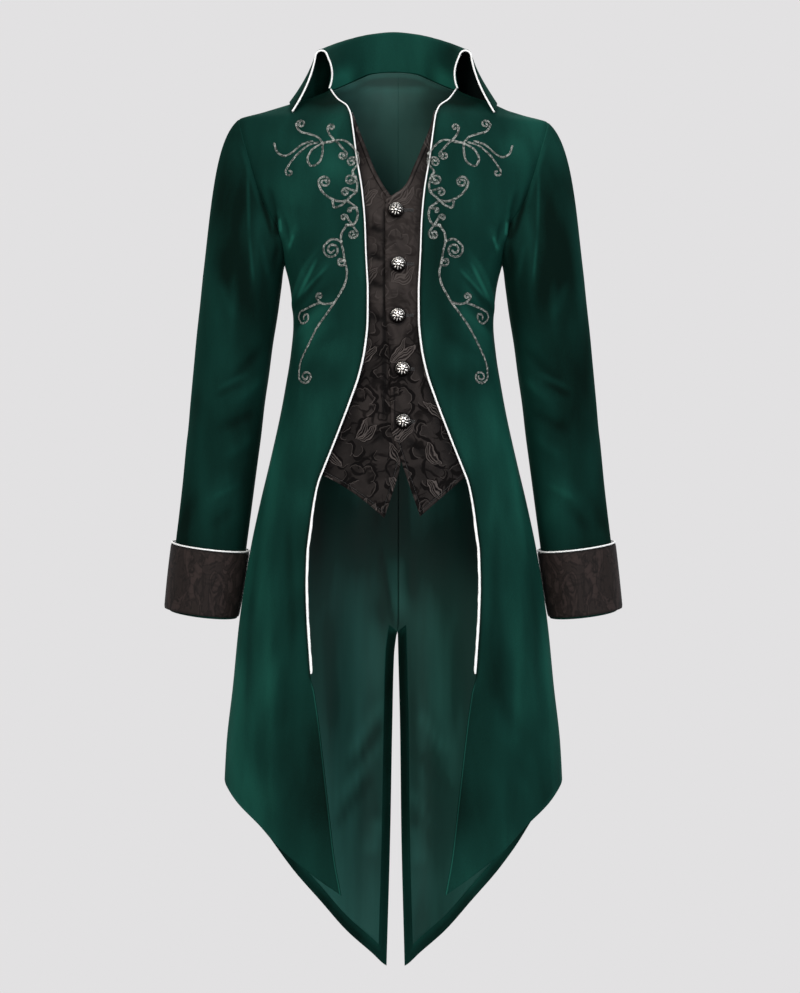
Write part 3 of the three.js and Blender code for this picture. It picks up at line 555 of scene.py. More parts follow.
def evenly(x, z, side):
    """A curve through flat places, read by its share of length over the figure."""
    run = run_of(cloth_point(x, z, side, creased=False)[0])
    share = run / run[-1]
    return lambda t: (np.interp(t, share, x), np.interp(t, share, z))


def pressed(point):
    """Where the line from the middle of the coat through a point meets the figure."""
    core = np.stack([point[..., 0] / 2, 0 * point[..., 0], point[..., 2] - PRESS_DROP], -1)
    away = point - core

    def inside(t):
        spot = core + away * t[..., None]
        return 1 - reach(spot[..., 0], spot[..., 1], spot[..., 2])

    share = crossing(inside, *(np.full(point.shape[:-1], t) for t in PRESS_REACH))
    return core + away * share[..., None]


def yoke(side, inner, outer, bottom, top, u, v):
    """A panel above the armpit, blended from its four edges and pressed onto the figure."""
    t = np.linspace(0, 1, SAMPLES)
    edge_in = figure_point(*evenly(*inner(t), side)(t), side)
    edge_out = figure_point(*evenly(*outer(t), side)(t), side)
    low = figure_point(*bottom, side)
    high = figure_point(*top, side)
    across = mix(edge_in[:, None], edge_out[:, None], u[None, :, None])
    along = mix(low[None], high[None], t[:, None, None])
    corners_low = mix(low[0], low[-1], u[:, None])
    corners_high = mix(high[0], high[-1], u[:, None])
    corners = mix(corners_low[None], corners_high[None], t[:, None, None])
    place = pressed(across + along - corners)
    xs, zs = [], []
    for column in range(len(u)):
        x, z = evenly(place[:, column, 0], place[:, column, 2], side)(v)
        xs.append(x)
        zs.append(z)
    x, z = np.array(xs).T, np.array(zs).T
    x[-1], z[-1] = top
    return x, z


# Distances of the first points beside an edge of cloth, and where the even ones begin.
NEAR_EDGE = (0, 0.8, 1.8, 3.2)
EVEN_FROM = 5


def lines(count, length):
    """Shares of a length, even in the middle and close together near both ends."""
    near = np.array(NEAR_EDGE) / length
    middle = np.linspace(EVEN_FROM / length, 1 - EVEN_FROM / length, count)
    return np.concatenate([near, middle, 1 - near[::-1]])


# Columns of the panels, their rows up to the armpit and, in the yoke, above it.
FRONT_COLUMNS = lines(40, 190)
FRONT_ROWS = lines(170, 840)
FRONT_YOKE = lines(52, 240)[1:]
BACK_COLUMNS = lines(40, 200)[1:]
BACK_ROWS = lines(88, 500)[1:]
BACK_YOKE = lines(56, 270)[1:]

# Close rows by the hem, close columns by the vent, and rows of the tails between hem and vent.
HEM_ROWS = (*NEAR_EDGE, 9, 15)
VENT_COLUMNS = (*NEAR_EDGE, 7.5, VENT_BORDER)
TAIL_ROWS = 80

# Where the search for the hems starts, and its rounds.
FRONT_HEM_GUESS = -1000.0
BACK_HEM_GUESS = -1100.0
HEM_ROUNDS = 40

# Shares of a back's columns: the neckline is between the two, with the shoulder beyond it.
NECK_FROM = 1 / 9
SHOULDER_FROM = 5 / 9


def front_places():
    """The left front's flat places, from the hem up and from the front edge out."""
    u = FRONT_COLUMNS
    hem = np.full(len(u), FRONT_HEM_GUESS)
    for _ in range(HEM_ROUNDS):
        hem = front_hem(across_at(angle_at(front_edge(hem), hem) * (1 - u), hem))
    z = mix(hem[None, :], ARMPIT, FRONT_ROWS[:, None])
    x = across_at(angle_at(front_edge(z), z) * (1 - u), z)
    reach_out = armhole("front")

    def edge(t):
        height = mix(ARMPIT, NECK_POINT, t)
        return front_edge(height), height

    def hole(t):
        height = mix(ARMPIT, SHOULDER_END, t)
        return reach_out(height), height

    along = mix(float(front_edge(NECK_POINT)), SHOULDER_TIP, u)
    upper = yoke(-1, edge, hole, (x[-1], z[-1]), (along, ridge(along)), u, FRONT_YOKE)
    return np.concatenate([x, upper[0]]), np.concatenate([z, upper[1]])


def back_edge(hand):
    vent = smooth(VENT, "z", "left" if hand > 0 else "right")

    def edge(z):
        z = np.asarray(z, float)
        return hand * np.where(z >= VENT_TOP, CENTRE_SEAM + hand * TOUCH / 2, vent(z))

    return edge


def back_places(hand):
    """One back's flat places, from the hem up, with x counted outwards from the centre."""
    edge = back_edge(hand)
    reach_out = armhole("back")
    near = np.array(VENT_COLUMNS)
    u = BACK_COLUMNS
    share = np.concatenate([0 * near, u])
    inset = np.concatenate([near, 0 * u + VENT_BORDER])

    def across(z):
        start = edge(z) + inset
        return across_at(angle_at(start, z) * (1 - share), z)

    wider = TAIL_WIDER if hand > 0 else 0
    column = np.concatenate([near / VENT_BORDER * NECK_FROM, mix(NECK_FROM, 1, u)])
    hem = np.full(len(share), BACK_HEM_GUESS)
    for _ in range(HEM_ROUNDS):
        reached = across(hem)
        hem = back_hem(reached - wider * ramp((TAIL_WIDER_TO - reached) / TAIL_WIDER_OVER))
    vent = mix(VENT_TOP, SIDE_AT_VENT, column)
    rows = [hem + rise for rise in HEM_ROWS]
    rows += [mix(hem + HEM_BORDER, vent, t) for t in np.linspace(0, 1, TAIL_ROWS)]
    rows += [mix(vent, ARMPIT, t) for t in BACK_ROWS]
    z = np.array(rows)
    x = across(z)

    def seam(t):
        height = mix(ARMPIT, NAPE, t)
        return edge(0) + 0 * height, height

    def hole(t):
        height = mix(ARMPIT, SHOULDER_END, t)
        return reach_out(height), height

    start = float(edge(0))
    neck_x = float(half_width(NECK_POINT))
    neck_curve = smooth(NECKLINE + [{"x": neck_x, "z": NECK_POINT}], "x", "z")
    along = np.linspace(start + VENT_BORDER, neck_x, SAMPLES)
    neck = evenly(along, neck_curve(along), 1)
    x_top, z_top = neck(np.clip((column - NECK_FROM) / (SHOULDER_FROM - NECK_FROM), 0, 1))
    in_border = column < NECK_FROM
    x_top = np.where(in_border, start + column / NECK_FROM * VENT_BORDER, x_top)
    z_top = np.where(in_border, neck_curve(x_top), z_top)
    outer = np.clip((column - SHOULDER_FROM) / (1 - SHOULDER_FROM), 0, 1)
    shoulder = mix(neck_x, SHOULDER_TIP, outer)
    on_shoulder = column > SHOULDER_FROM
    x_top = np.where(on_shoulder, shoulder, x_top)
    z_top = np.where(on_shoulder, ridge(shoulder), z_top)
    upper = yoke(1, seam, hole, (x[-1], z[-1]), (x_top, z_top), column, BACK_YOKE)
    return np.concatenate([x, upper[0]]), np.concatenate([z, upper[1]])


# How far an edge drops where it is turned in, over what distance, and at most as a share of
# the cloth's thickness.
EDGE_DROP = 0.75
EDGE_SOFT = 1.6
EDGE_SHARE = 0.35


def edge_distance(points, wrap=False):
    """How far each point of a grid lies from the grid's nearest edge."""
    down = run_of(points, 0)
    near = np.minimum(down, down[-1:] - down)
    if not wrap:
        across = run_of(points, 1)
        near = np.minimum(near, np.minimum(across, across[:, -1:] - across))
    return near


def rounded(points, normals, thickness, wrap=False):
    """Outside and inside of a cloth, softened where it is turned in at its edges."""
    drop = EDGE_DROP * bell(edge_distance(points, wrap), 0, EDGE_SOFT)
    outside = points - normals * np.minimum(drop, thickness * EDGE_SHARE)[..., None]
    return outside, points - normals * thickness


def slopes(points, wrap=False):
    """The way out of a grid by its own slopes."""
    if wrap:
        along = np.roll(points, -1, 1) - np.roll(points, 1, 1)
    else:
        along = np.gradient(points, axis=1)
    down = np.gradient(points, axis=0)
    return unit(np.cross(along, down))


def finish_mesh(name, mesh, materials):
    for material in materials:
        mesh.materials.append(material)
    mesh.polygons.foreach_set("use_smooth", [True] * len(mesh.polygons))
    obj = bpy.data.objects.new(name, mesh)
    bpy.context.scene.collection.objects.link(obj)
    return obj


def rim_faces(quads, under):
    """Faces that join the open edges of the outside to those of the inside."""
    flow = np.concatenate([quads[:, [i, (i + 1) % 4]] for i in range(4)])
    there = flow[:, 0] * under + flow[:, 1]
    back = flow[:, 1] * under + flow[:, 0]
    start, end = flow[~np.isin(back, there)].T
    return np.stack([end, start, start + under, end + under], 1)


def past_seam(places, width, columns):
    """A ring's flat places, with those of its first column carried on past its last one."""
    places = places.reshape(-1, 4, 2)
    near_start = places[:, :, 0] < places[:, :, 0].max(1, keepdims=True) - width / 2
    places[:, :, 0] += near_start * (width * columns / (columns - 1))
    return places


def wall(name, outside, inside, uv, materials, wrap=False, keep=None, marks=None):
    """A closed cloth piece over a grid of paired points, with its UV in metres.
    materials are for the outside, the inside and the rim. marks are values at each point."""
    rows, columns = outside.shape[:2]
    points = np.concatenate([outside.reshape(-1, 3), inside.reshape(-1, 3)]) * MM
    under = rows * columns
    last = columns if wrap else columns - 1
    r, c = np.meshgrid(np.arange(rows - 1), np.arange(last), indexing="ij")
    r, c = r.ravel(), c.ravel()
    if keep is not None:
        wanted = keep[r, c]
        r, c = r[wanted], c[wanted]
    after = (c + 1) % columns
    quads = np.stack([r * columns + c, r * columns + after,
                      (r + 1) * columns + after, (r + 1) * columns + c], 1)
    rim = rim_faces(quads, under)
    faces = np.concatenate([quads, quads[:, ::-1] + under, rim])
    kind = np.concatenate([np.zeros(len(quads)), np.ones(len(quads)), np.full(len(rim), 2)])
    a, b, d = points[faces[:, 0]], points[faces[:, 1]], points[faces[:, 3]]
    centre = points[faces].mean(1)
    middle = points[quads[:, 0]].mean(0)
    volume = (np.cross(b - a, d - a) * (centre - middle)).sum()
    if volume < 0:
        faces = faces[:, ::-1]
    mesh = bpy.data.meshes.new(name)
    used = np.unique(faces)
    renumber = np.zeros(2 * under, int)
    renumber[used] = np.arange(len(used))
    mesh.from_pydata(points[used], [], renumber[faces].tolist())
    mesh.polygons.foreach_set("material_index", kind.astype(int))
    layer = mesh.uv_layers.new(name="cloth")
    flat = np.concatenate([uv.reshape(-1, 2), uv.reshape(-1, 2)]) * MM
    places = flat[faces.ravel()]
    if wrap:
        places = past_seam(places, np.ptp(flat[:, 0]), columns)
    layer.data.foreach_set("uv", places.ravel())
    for mark, values in (marks or {}).items():
        attribute = mesh.attributes.new(mark, "FLOAT", "POINT")
        both = np.concatenate([values.ravel(), values.ravel()])
        attribute.data.foreach_set("value", both[used])
    mesh.validate()
    return finish_mesh(name, mesh, materials)


def grid_uv(points):
    """Places on the flat cloth: run along the rows, and height up the columns."""
    across = run_of(points, 1)
    up = run_of(points, 0)
    return np.stack([across, up], -1)


def flat_cut(points, wrap=False):
    """A grid's width, length and area laid flat, in metres."""
    ring = np.concatenate([points, points[:, :1]], 1) if wrap else points
    width = run_of(ring, 1)[:, -1].max()
    length = run_of(points, 0)[-1].max()
    a = ring[1:, 1:] - ring[:-1, :-1]
    b = ring[1:, :-1] - ring[:-1, 1:]
    area = np.linalg.norm(np.cross(a, b), axis=-1).sum() / 2
    return width * MM, length * MM, area * MM * MM


def declare(obj, points, slot, replaced, rests_on, wrap=False, extra=()):
    """Works out the piece's flat cut, joins the piece to the body and hides the part it replaces."""
    width, length, area = flat_cut(points, wrap)
    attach(obj, BODY)
    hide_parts(replaced)
    list(extra)
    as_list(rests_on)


# Materials

def colour(code):
    """A colour written as in a picture, made linear."""
    parts = [int(code[i:i + 2], 16) / 255 for i in (1, 3, 5)]
    return [c / 12.92 if c <= 0.04045 else ((c + 0.055) / 1.055) ** 2.4 for c in parts] + [1]


class Nodes:
    """Short ways to add nodes to one tree. A value may be a number, a colour or a socket."""

    def __init__(self, tree):
        self.tree = tree

    def put(self, socket, value):
        if isinstance(value, bpy.types.NodeSocket):
            self.tree.links.new(value, socket)
        else:
            socket.default_value = value

    def fill(self, node, inputs):
        """Puts values in a node's inputs, each by its name or number."""
        for key, value in inputs.items():
            self.put(node.inputs[key], value)
        return node

    def add(self, kind, inputs=None, **settings):
        node = self.tree.nodes.new(kind)
        for key, value in settings.items():
            setattr(node, key, value)
        return self.fill(node, inputs or {})

    def math(self, operation, *values):
        return self.add("ShaderNodeMath", dict(enumerate(values)), operation=operation).outputs[0]

    def away(self, value, at=0.5):
        return self.math("ABSOLUTE", self.math("SUBTRACT", value, at))

    def sway(self, value, field, share):
        """A value moved up and down by a field that runs from 0 to 1."""
        moved = self.math("MULTIPLY", self.math("SUBTRACT", field, 0.5), share)
        return self.math("ADD", value, moved)

    def step(self, value, low, high, start=0.0, end=1.0):
        """A soft step from start to end while value runs from low to high."""
        return self.add("ShaderNodeMapRange", {
            "Value": value, "From Min": low, "From Max": high, "To Min": start, "To Max": end,
        }, interpolation_type="SMOOTHSTEP").outputs["Result"]

    def mix(self, share, a, b):
        return self.add("ShaderNodeMix", {0: share, 6: a, 7: b}, data_type="RGBA").outputs[2]

    def noise(self, place, scale, detail=2.0, stretch=(1, 1, 1), distortion=0.0):
        mapping = self.add("ShaderNodeMapping", {"Vector": place, "Scale": stretch})
        return self.add("ShaderNodeTexNoise", {
            "Vector": mapping.outputs[0], "Scale": scale, "Detail": detail, "Distortion": distortion,
        }).outputs["Fac"]

    def ramp(self, share, stops):
        node = self.add("ShaderNodeValToRGB", {0: share})
        points = node.color_ramp.elements
        while len(points) < len(stops):
            points.new(0.5)
        for point, (place, code) in zip(points, stops):
            point.position = place
            point.color = colour(code)
        return node.outputs[0]

    def attribute(self, name):
        return self.add("ShaderNodeAttribute", attribute_name=name).outputs["Fac"]

    def place(self):
        """Where a point lies in its object, in metres."""
        return self.add("ShaderNodeTexCoord").outputs["Object"]

    def cloth_place(self):
        """Where a point lies on the flat cloth, in metres."""
        return self.add("ShaderNodeUVMap", uv_map="cloth").outputs[0]

    def parts(self, vector):
        return self.add("ShaderNodeSeparateXYZ", {0: vector}).outputs

    def bump(self, height, strength, distance):
        return self.add("ShaderNodeBump", {
            "Height": height, "Strength": strength, "Distance": distance,
        }).outputs[0]


def node_group(name, kind, inputs, outputs):
    """A tree with named sockets, its nodes and its two ends."""
    tree = bpy.data.node_groups.new(name, kind)
    for way, sockets in (("INPUT", inputs), ("OUTPUT", outputs)):
        for label, value in sockets.items():
            tree.interface.new_socket(label, in_out=way, socket_type=f"NodeSocket{value}")
    nodes = Nodes(tree)
    return tree, nodes, nodes.add("NodeGroupInput"), nodes.add("NodeGroupOutput")


def surface(name, settings):
    """A new material with its shader's uniform values set, and short ways to its nodes."""
    material = bpy.data.materials.new(name)
    material.use_nodes = True
    shader = material.node_tree.nodes["Principled BSDF"]
    nodes = Nodes(material.node_tree)
    nodes.fill(shader, settings)
    return material, nodes, shader


# Painted highlights and shade along the creases of the body and, the same on both, of the sleeves.
BODY_CREASE_LIGHT = table("x1 z1 x2 z2 wide lift", [
    (-152.5, -166, -151, -184, 1.8, 0.75), (-157, -160, -156, -190, 3.5, -0.4),
    (-140, -206, -133, -188, 1.8, 0.5), (-131, -276, -101, -221, 2.2, 0.5),
    (-126, -270, -86, -231, 2.2, 0.35), (-128, -284, -92, -238, 4, -0.25),
    (152.5, -170, 151, -188, 1.8, 0.7), (157, -164, 156, -194, 3.5, -0.4),
    (140, -208, 133, -190, 1.8, 0.5), (131, -278, 103, -226, 2.2, 0.45),
    (126, -274, 88, -236, 2.2, 0.35), (128, -288, 94, -242, 4, -0.25),
    (-224, -938, -182, -984, 6, 0.3), (224, -936, 186, -980, 6, 0.34),
    (-206, -1000, -140, -1078, 3, 0.3), (206, -1000, 140, -1078, 3, 0.3),
    (-140, -560, -132, -760, 5, -0.14), (-168, -700, -160, -900, 5, 0.08),
    (138, -560, 132, -740, 5, -0.12), (170, -690, 160, -880, 5, 0.08),
])
SLEEVE_CREASE_LIGHT = table("x1 z1 x2 z2 wide lift", [
    (196, -96, 193, -190, 2, 0.3), (193, -186, 187, -252, 2, 0.3),
    (206, -60, 178, -150, 3, 0.22), (182, -120, 160, -196, 3, -0.3),
    (176, -196, 168, -246, 3, 0.18), (232, -250, 214, -300, 5, 0.12),
    (196, -372, 236, -392, 3, 0.14), (200, -384, 240, -404, 4, -0.14),
    (206, -520, 244, -540, 4, 0.1),
])


def crease_light_group():
    """Painted highlights and shade: bright and dark strokes along creases, where a place lies in the front
    half.
    """
    tree, nodes, inputs, outputs = node_group(
        "painted_crease_light", "ShaderNodeTree", {"Place": "Vector"}, {"Painted Light": "Float"})
    m = nodes.math
    parts = nodes.parts(inputs.outputs[0])
    x = m("MULTIPLY", parts[0], 1000)
    z = m("MULTIPLY", parts[2], 1000)
    total = 0.0
    for rows, across in ((BODY_CREASE_LIGHT, x), (SLEEVE_CREASE_LIGHT, m("ABSOLUTE", x))):
        for row in rows:
            dx, dz = row["x2"] - row["x1"], row["z2"] - row["z1"]
            long = math.hypot(dx, dz)
            a = m("SUBTRACT", across, row["x1"])
            b = m("SUBTRACT", z, row["z1"])
            share = m("MULTIPLY_ADD", a, dx / long ** 2, m("MULTIPLY", b, dz / long ** 2))
            away = m("ABSOLUTE", m("MULTIPLY_ADD", a, dz / long, m("MULTIPLY", b, -dx / long)))
            mark = nodes.step(away, 0.0, 2 * row["wide"], row["lift"], 0.0)
            mark = m("MULTIPLY", mark, nodes.step(share, -0.1, 0.3))
            total = m("MULTIPLY_ADD", mark, nodes.step(share, 0.7, 1.1, 1.0, 0.0), total)
    nodes.put(outputs.inputs[0], m("MULTIPLY", total, m("LESS_THAN", parts[1], 0.0)))
    return tree


CREASE_LIGHT = crease_light_group()
# A greyer green that the lining takes near the neck.
NECK_GREY = "#3b504c"


def velvet_material(name, dark, base, light, shine):
    """Short pile in soft patches, streaks and fine grain, with painted highlights and shade from creases
    and marks.
    """
    material, nodes, shader = surface(name, {
        "Sheen Weight": 0.1, "Sheen Roughness": 0.4, "Sheen Tint": colour(shine),
        "Specular IOR Level": 0.03, "IOR": 1.45,
    })
    place = nodes.place()
    patches = nodes.noise(place, 7.5, 2, (1, 1, 0.55), 0.5)
    streaks = nodes.noise(place, 34, 3, (1, 1, 0.22), 0.3)
    grain = nodes.noise(place, 900, 2)
    strokes = nodes.add("ShaderNodeGroup", {0: place}, node_tree=CREASE_LIGHT).outputs[0]
    shade_and_nap = nodes.math("ADD", nodes.math("ADD", nodes.attribute("shade_and_nap"), 0.5), strokes)
    for field, share in ((patches, 1.0), (streaks, 0.36), (grain, 0.3)):
        shade_and_nap = nodes.sway(shade_and_nap, field, share)
    nodes.fill(shader, {
        "Base Color": nodes.ramp(shade_and_nap, [(0.0, dark), (0.45, base), (1.0, light)]),
        "Roughness": nodes.step(shade_and_nap, 0, 1, 0.95, 0.72),
        "Normal": nodes.bump(nodes.noise(place, 1500, 2, (1, 1, 0.6)), 0.35, 0.0006),
    })
    return material


def satin_material(name, dark, base, light, greying=0.0):
    """A fine warp-faced lining with a soft run of light and slight pulls, greyer near the neck, and painted
    light and shade from its marks.
    """
    material, nodes, shader = surface(name, {
        "Sheen Weight": 0.05, "Sheen Roughness": 0.4, "Sheen Tint": colour(light),
        "Specular IOR Level": 0.1,
    })
    place = nodes.place()
    soft = nodes.noise(place, 5, 2, (1, 1, 0.4), 0.6)
    pulls = nodes.noise(place, 45, 2, (1, 1, 0.12))
    tone = nodes.math("ADD", nodes.math("MULTIPLY", soft, 0.8), nodes.math("MULTIPLY", pulls, 0.2))
    tone = nodes.math("ADD", tone, nodes.attribute("shade_and_nap"))
    greyed = nodes.step(nodes.parts(place)[2], -0.32, -0.2, 0, greying)
    dyed = nodes.ramp(tone, [(0.1, dark), (0.5, base), (0.9, light)])
    nodes.fill(shader, {
        "Base Color": nodes.mix(greyed, dyed, colour(NECK_GREY)),
        "Roughness": nodes.step(pulls, 0, 1, 0.42, 0.56),
        "Normal": nodes.bump(nodes.noise(place, 1100, 1, (1, 1, 0.2)), 0.18, 0.0004),
    })
    return material


# One repeat of the brocade in millimetres. Leaves: place, length, width, turn.
# Commas: place, radius, turn and how deep they are cut. Stems: centre, radius, middle and reach.
REPEAT = (86, 104)
LEAVES = table("set x y length width turn", [
    (0, -16, 26, 38, 13, 38), (0, 20, -2, 38, 13, -52),
    (1, -20, 8, 36, 12, 128), (1, 20, -20, 38, 13, 58),
])
COMMAS = table("set x y radius turn cut", [
    (0, -30, 2, 10, 120, 0.5), (0, 6, 36, 9, -60, 0.5), (0, 34, 26, 8, 10, 0.55),
    (0, -4, 0, 8, 30, 0.55), (0, -36, -42, 9, -30, 0.5), (0, 12, -38, 10, 90, 0.5),
    (0, -14, -26, 11, 210, 0.45), (0, 36, -30, 8, 150, 0.5),
    (1, 2, 6, 10, -20, 0.5), (1, 32, 8, 9, 170, 0.5), (1, -6, -20, 9, 80, 0.5), (1, -34, -22, 8, 0, 0.5),
    (1, 12, 32, 11, 250, 0.45), (1, -10, 38, 8, 60, 0.5), (1, 0, -44, 9, 190, 0.5),
])
STEMS = table("set x y radius middle half", [
    (0, -6, 8, 21, 20, 62), (0, 22, -20, 15, 150, 80), (0, -28, -16, 13, 250, 74),
    (1, 8, -6, 22, 200, 60), (1, -18, 22, 14, -40, 80), (1, 24, 34, 11, 110, 80),
])
STROKE = 2.1
WOBBLE = 22
RIB = 0.9


def brocade_group():
    """A woven pattern of leaves, commas, stems and swirls: dark strokes, light threads, ribs."""
    tree, nodes, inputs, outputs = node_group(
        "woven_leaves", "ShaderNodeTree", {"Place": "Vector"},
        {"Strokes": "Float", "Threads": "Float", "Swirls": "Float", "Ribs": "Float"})
    m = nodes.math
    place = inputs.outputs[0]
    parts = nodes.parts(place)
    flat = []
    for axis, stretch in ((0, (1, 1, 1)), (1, (1.3, 0.8, 1))):
        wobble = nodes.noise(place, 38, 2, stretch)
        flat.append(nodes.sway(m("MULTIPLY", parts[axis], 1000), wobble, WOBBLE))
    cells = []
    for shift in (0, 0.5):
        cell = []
        for value, size in zip(flat, REPEAT):
            share = m("FRACT", m("ADD", m("DIVIDE", value, size), shift + 0.13))
            cell.append(m("MULTIPLY", m("SUBTRACT", share, 0.5), size))
        cells.append(cell)

    def local(row):
        cell = cells[row["set"]]
        turn = math.radians(row.get("turn", row.get("middle")))
        dx = m("SUBTRACT", cell[0], row["x"])
        dy = m("SUBTRACT", cell[1], row["y"])
        along = m("MULTIPLY_ADD", dx, math.cos(turn), m("MULTIPLY", dy, math.sin(turn)))
        across = m("MULTIPLY_ADD", dy, math.cos(turn), m("MULTIPLY", dx, -math.sin(turn)))
        return along, across

    def length(a, b):
        return m("SQRT", m("MULTIPLY_ADD", a, a, m("MULTIPLY", b, b)))

    def joined(values):
        total = values[0]
        for value in values[1:]:
            total = m("MAXIMUM", total, value)
        return total

    def leaf(row):
        along, across = local(row)
        bent = m("MULTIPLY_ADD", m("MULTIPLY", along, along), -0.35 / row["length"], across)
        share = m("DIVIDE", along, row["length"] / 2)
        swell = m("MAXIMUM", m("SUBTRACT", 1, m("MULTIPLY", share, share)), 0.0)
        edge = m("MULTIPLY", swell, row["width"] / 2)
        off = m("SUBTRACT", m("ABSOLUTE", bent), edge)
        inside = nodes.step(off, -0.4, 0.2, 1, 0)
        within = nodes.step(m("ABSOLUTE", share), 0.94, 1.04, 1, 0)
        rim = nodes.step(nodes.away(off, -0.6), 0.25, 0.7, 1, 0)
        ratio = m("DIVIDE", bent, m("MAXIMUM", edge, 0.2))
        vein = nodes.away(m("FRACT", m("MULTIPLY", ratio, 1.9)))
        veins = m("MULTIPLY", nodes.step(vein, 0.1, 0.24, 0.9, 0), inside)
        light = m("MULTIPLY", m("MAXIMUM", rim, veins), within)
        gaps = m("MULTIPLY", nodes.step(vein, 0.3, 0.46, 0, 0.75), inside)
        outline = nodes.step(nodes.away(off), 0.3, 1.0, 0.9, 0)
        shadow = m("SUBTRACT", m("SUBTRACT", bent, edge), m("MULTIPLY", swell, 3.4))
        beside = m("MULTIPLY", nodes.step(shadow, -0.8, 0.4, 1, 0), m("GREATER_THAN", bent, 0))
        beside = m("MULTIPLY", beside, m("SUBTRACT", 1, inside))
        return m("MULTIPLY", m("MAXIMUM", m("MAXIMUM", outline, gaps), beside), within), light

    def comma(row):
        along, across = local(row)
        radius = row["radius"]
        outer = nodes.step(length(along, across), radius - 0.7, radius + 0.4, 1, 0)
        moved = m("SUBTRACT", along, radius * row["cut"])
        cut = length(moved, across)
        inner = nodes.step(cut, radius * 0.92 - 0.5, radius * 0.92 + 0.5)
        glint = nodes.step(nodes.away(cut, radius * 0.86), 0.15, 0.5, 0.6, 0)
        return m("MULTIPLY", outer, inner), m("MULTIPLY", glint, outer)

    def stem(row):
        along, across = local(row)
        away = length(along, across)
        cosine = m("DIVIDE", along, m("MAXIMUM", away, 0.01))
        limit = math.cos(math.radians(row["half"]))
        thin = nodes.step(cosine, limit, 1.0, 0.25, 1.0)
        off = m("DIVIDE", nodes.away(away, row["radius"]), thin)
        line = nodes.step(off, STROKE * 0.6, STROKE * 1.6, 1, 0)
        return m("MULTIPLY", line, nodes.step(cosine, limit - 0.04, limit))

    strokes, threads = zip(*[leaf(row) for row in LEAVES], *[comma(row) for row in COMMAS])
    stems = [stem(row) for row in STEMS]
    field = nodes.noise(place, 30, 1.5, (1, 1.2, 1), 1.4)
    band = nodes.away(field)
    broken = nodes.step(nodes.noise(place, 24, 1, (1.1, 1, 1)), 0.4, 0.54)
    swirls = m("MULTIPLY", nodes.step(band, 0.015, 0.06, 1, 0), broken)
    rib = m("SINE", m("MULTIPLY", m("ADD", flat[0], flat[1]), 2 * math.pi / RIB))
    nodes.fill(outputs, {
        "Strokes": m("MAXIMUM", joined([*strokes, *stems]), m("MULTIPLY", swirls, 0.85)),
        "Threads": joined(threads),
        "Swirls": swirls,
        "Ribs": m("MULTIPLY_ADD", rib, 0.5, 0.5),
    })
    return tree


def shaded(nodes, base, tone, dark, light):
    """A colour pressed towards a dark one below zero and raised towards a light one above."""
    base = nodes.mix(nodes.step(tone, 0.0, 1.0, 0.0, 0.9), base, colour(light))
    return nodes.mix(nodes.step(tone, -1.0, 0.0, 0.92, 0.0), base, colour(dark))


def brocade_material(name, group, ground, stroke, thread):
    """Satin ground with dark strokes and leaves of light threads, plainer higher up, with painted light and
    shade from its marks.
    """
    material, nodes, shader = surface(name, {
        "Sheen Weight": 0.03, "Sheen Roughness": 0.5, "Specular IOR Level": 0.04,
    })
    pattern = nodes.add("ShaderNodeGroup", {0: nodes.cloth_place()}, node_tree=group)
    body = nodes.place()
    bold = nodes.step(nodes.parts(body)[2], -0.36, -0.28, 0.92, 0.3)
    cloud = nodes.noise(body, 26, 3, (1, 1, 0.6), 1.6)
    base = nodes.mix(nodes.step(cloud, 0.35, 0.68, 0.0, 0.5), colour(ground), colour(stroke))
    base = shaded(nodes, base, nodes.attribute("shade_and_nap"), stroke, thread)
    strokes = nodes.math("MULTIPLY", pattern.outputs["Strokes"], bold)
    base = nodes.mix(strokes, base, colour(stroke))
    threads = nodes.math("MULTIPLY", pattern.outputs["Threads"], nodes.step(bold, 0.3, 1, 0.22, 0.34))
    raised = nodes.math("SUBTRACT", pattern.outputs["Threads"], pattern.outputs["Strokes"])
    relief = nodes.math("MULTIPLY_ADD", pattern.outputs["Ribs"], 0.2, raised)
    nodes.fill(shader, {
        "Base Color": nodes.mix(threads, base, colour(thread)),
        "Roughness": nodes.step(pattern.outputs["Strokes"], 0, 1, 0.5, 0.8),
        "Normal": nodes.bump(relief, 0.4, 0.0005),
    })
    return material


def marbled_material(name, group, ground, stroke, light):
    """The dark brocade of the cuffs, with soft low streaks and swirls running down it, and painted shade
    along its edges.
    """
    material, nodes, shader = surface(name, {
        "Sheen Weight": 0.03, "Sheen Roughness": 0.5, "Specular IOR Level": 0.1,
    })
    place = nodes.cloth_place()
    pattern = nodes.add("ShaderNodeGroup", {0: place}, node_tree=group)
    field = nodes.noise(place, 28, 3, (1.5, 0.7, 1), 2.2)
    band = nodes.away(field)
    base = nodes.mix(nodes.step(field, 0.35, 0.65), colour(ground), colour(light))
    base = nodes.mix(nodes.step(band, 0.0, 0.06, 0.7, 0.0), base, colour(stroke))
    base = nodes.mix(nodes.math("MULTIPLY", pattern.outputs["Swirls"], 0.4), base, colour(stroke))
    nodes.fill(shader, {
        "Base Color": shaded(nodes, base, nodes.attribute("shade_and_nap"), stroke, light),
        "Roughness": nodes.step(field, 0.3, 0.7, 0.55, 0.75),
        "Normal": nodes.bump(pattern.outputs["Ribs"], 0.15, 0.0003),
    })
    return material


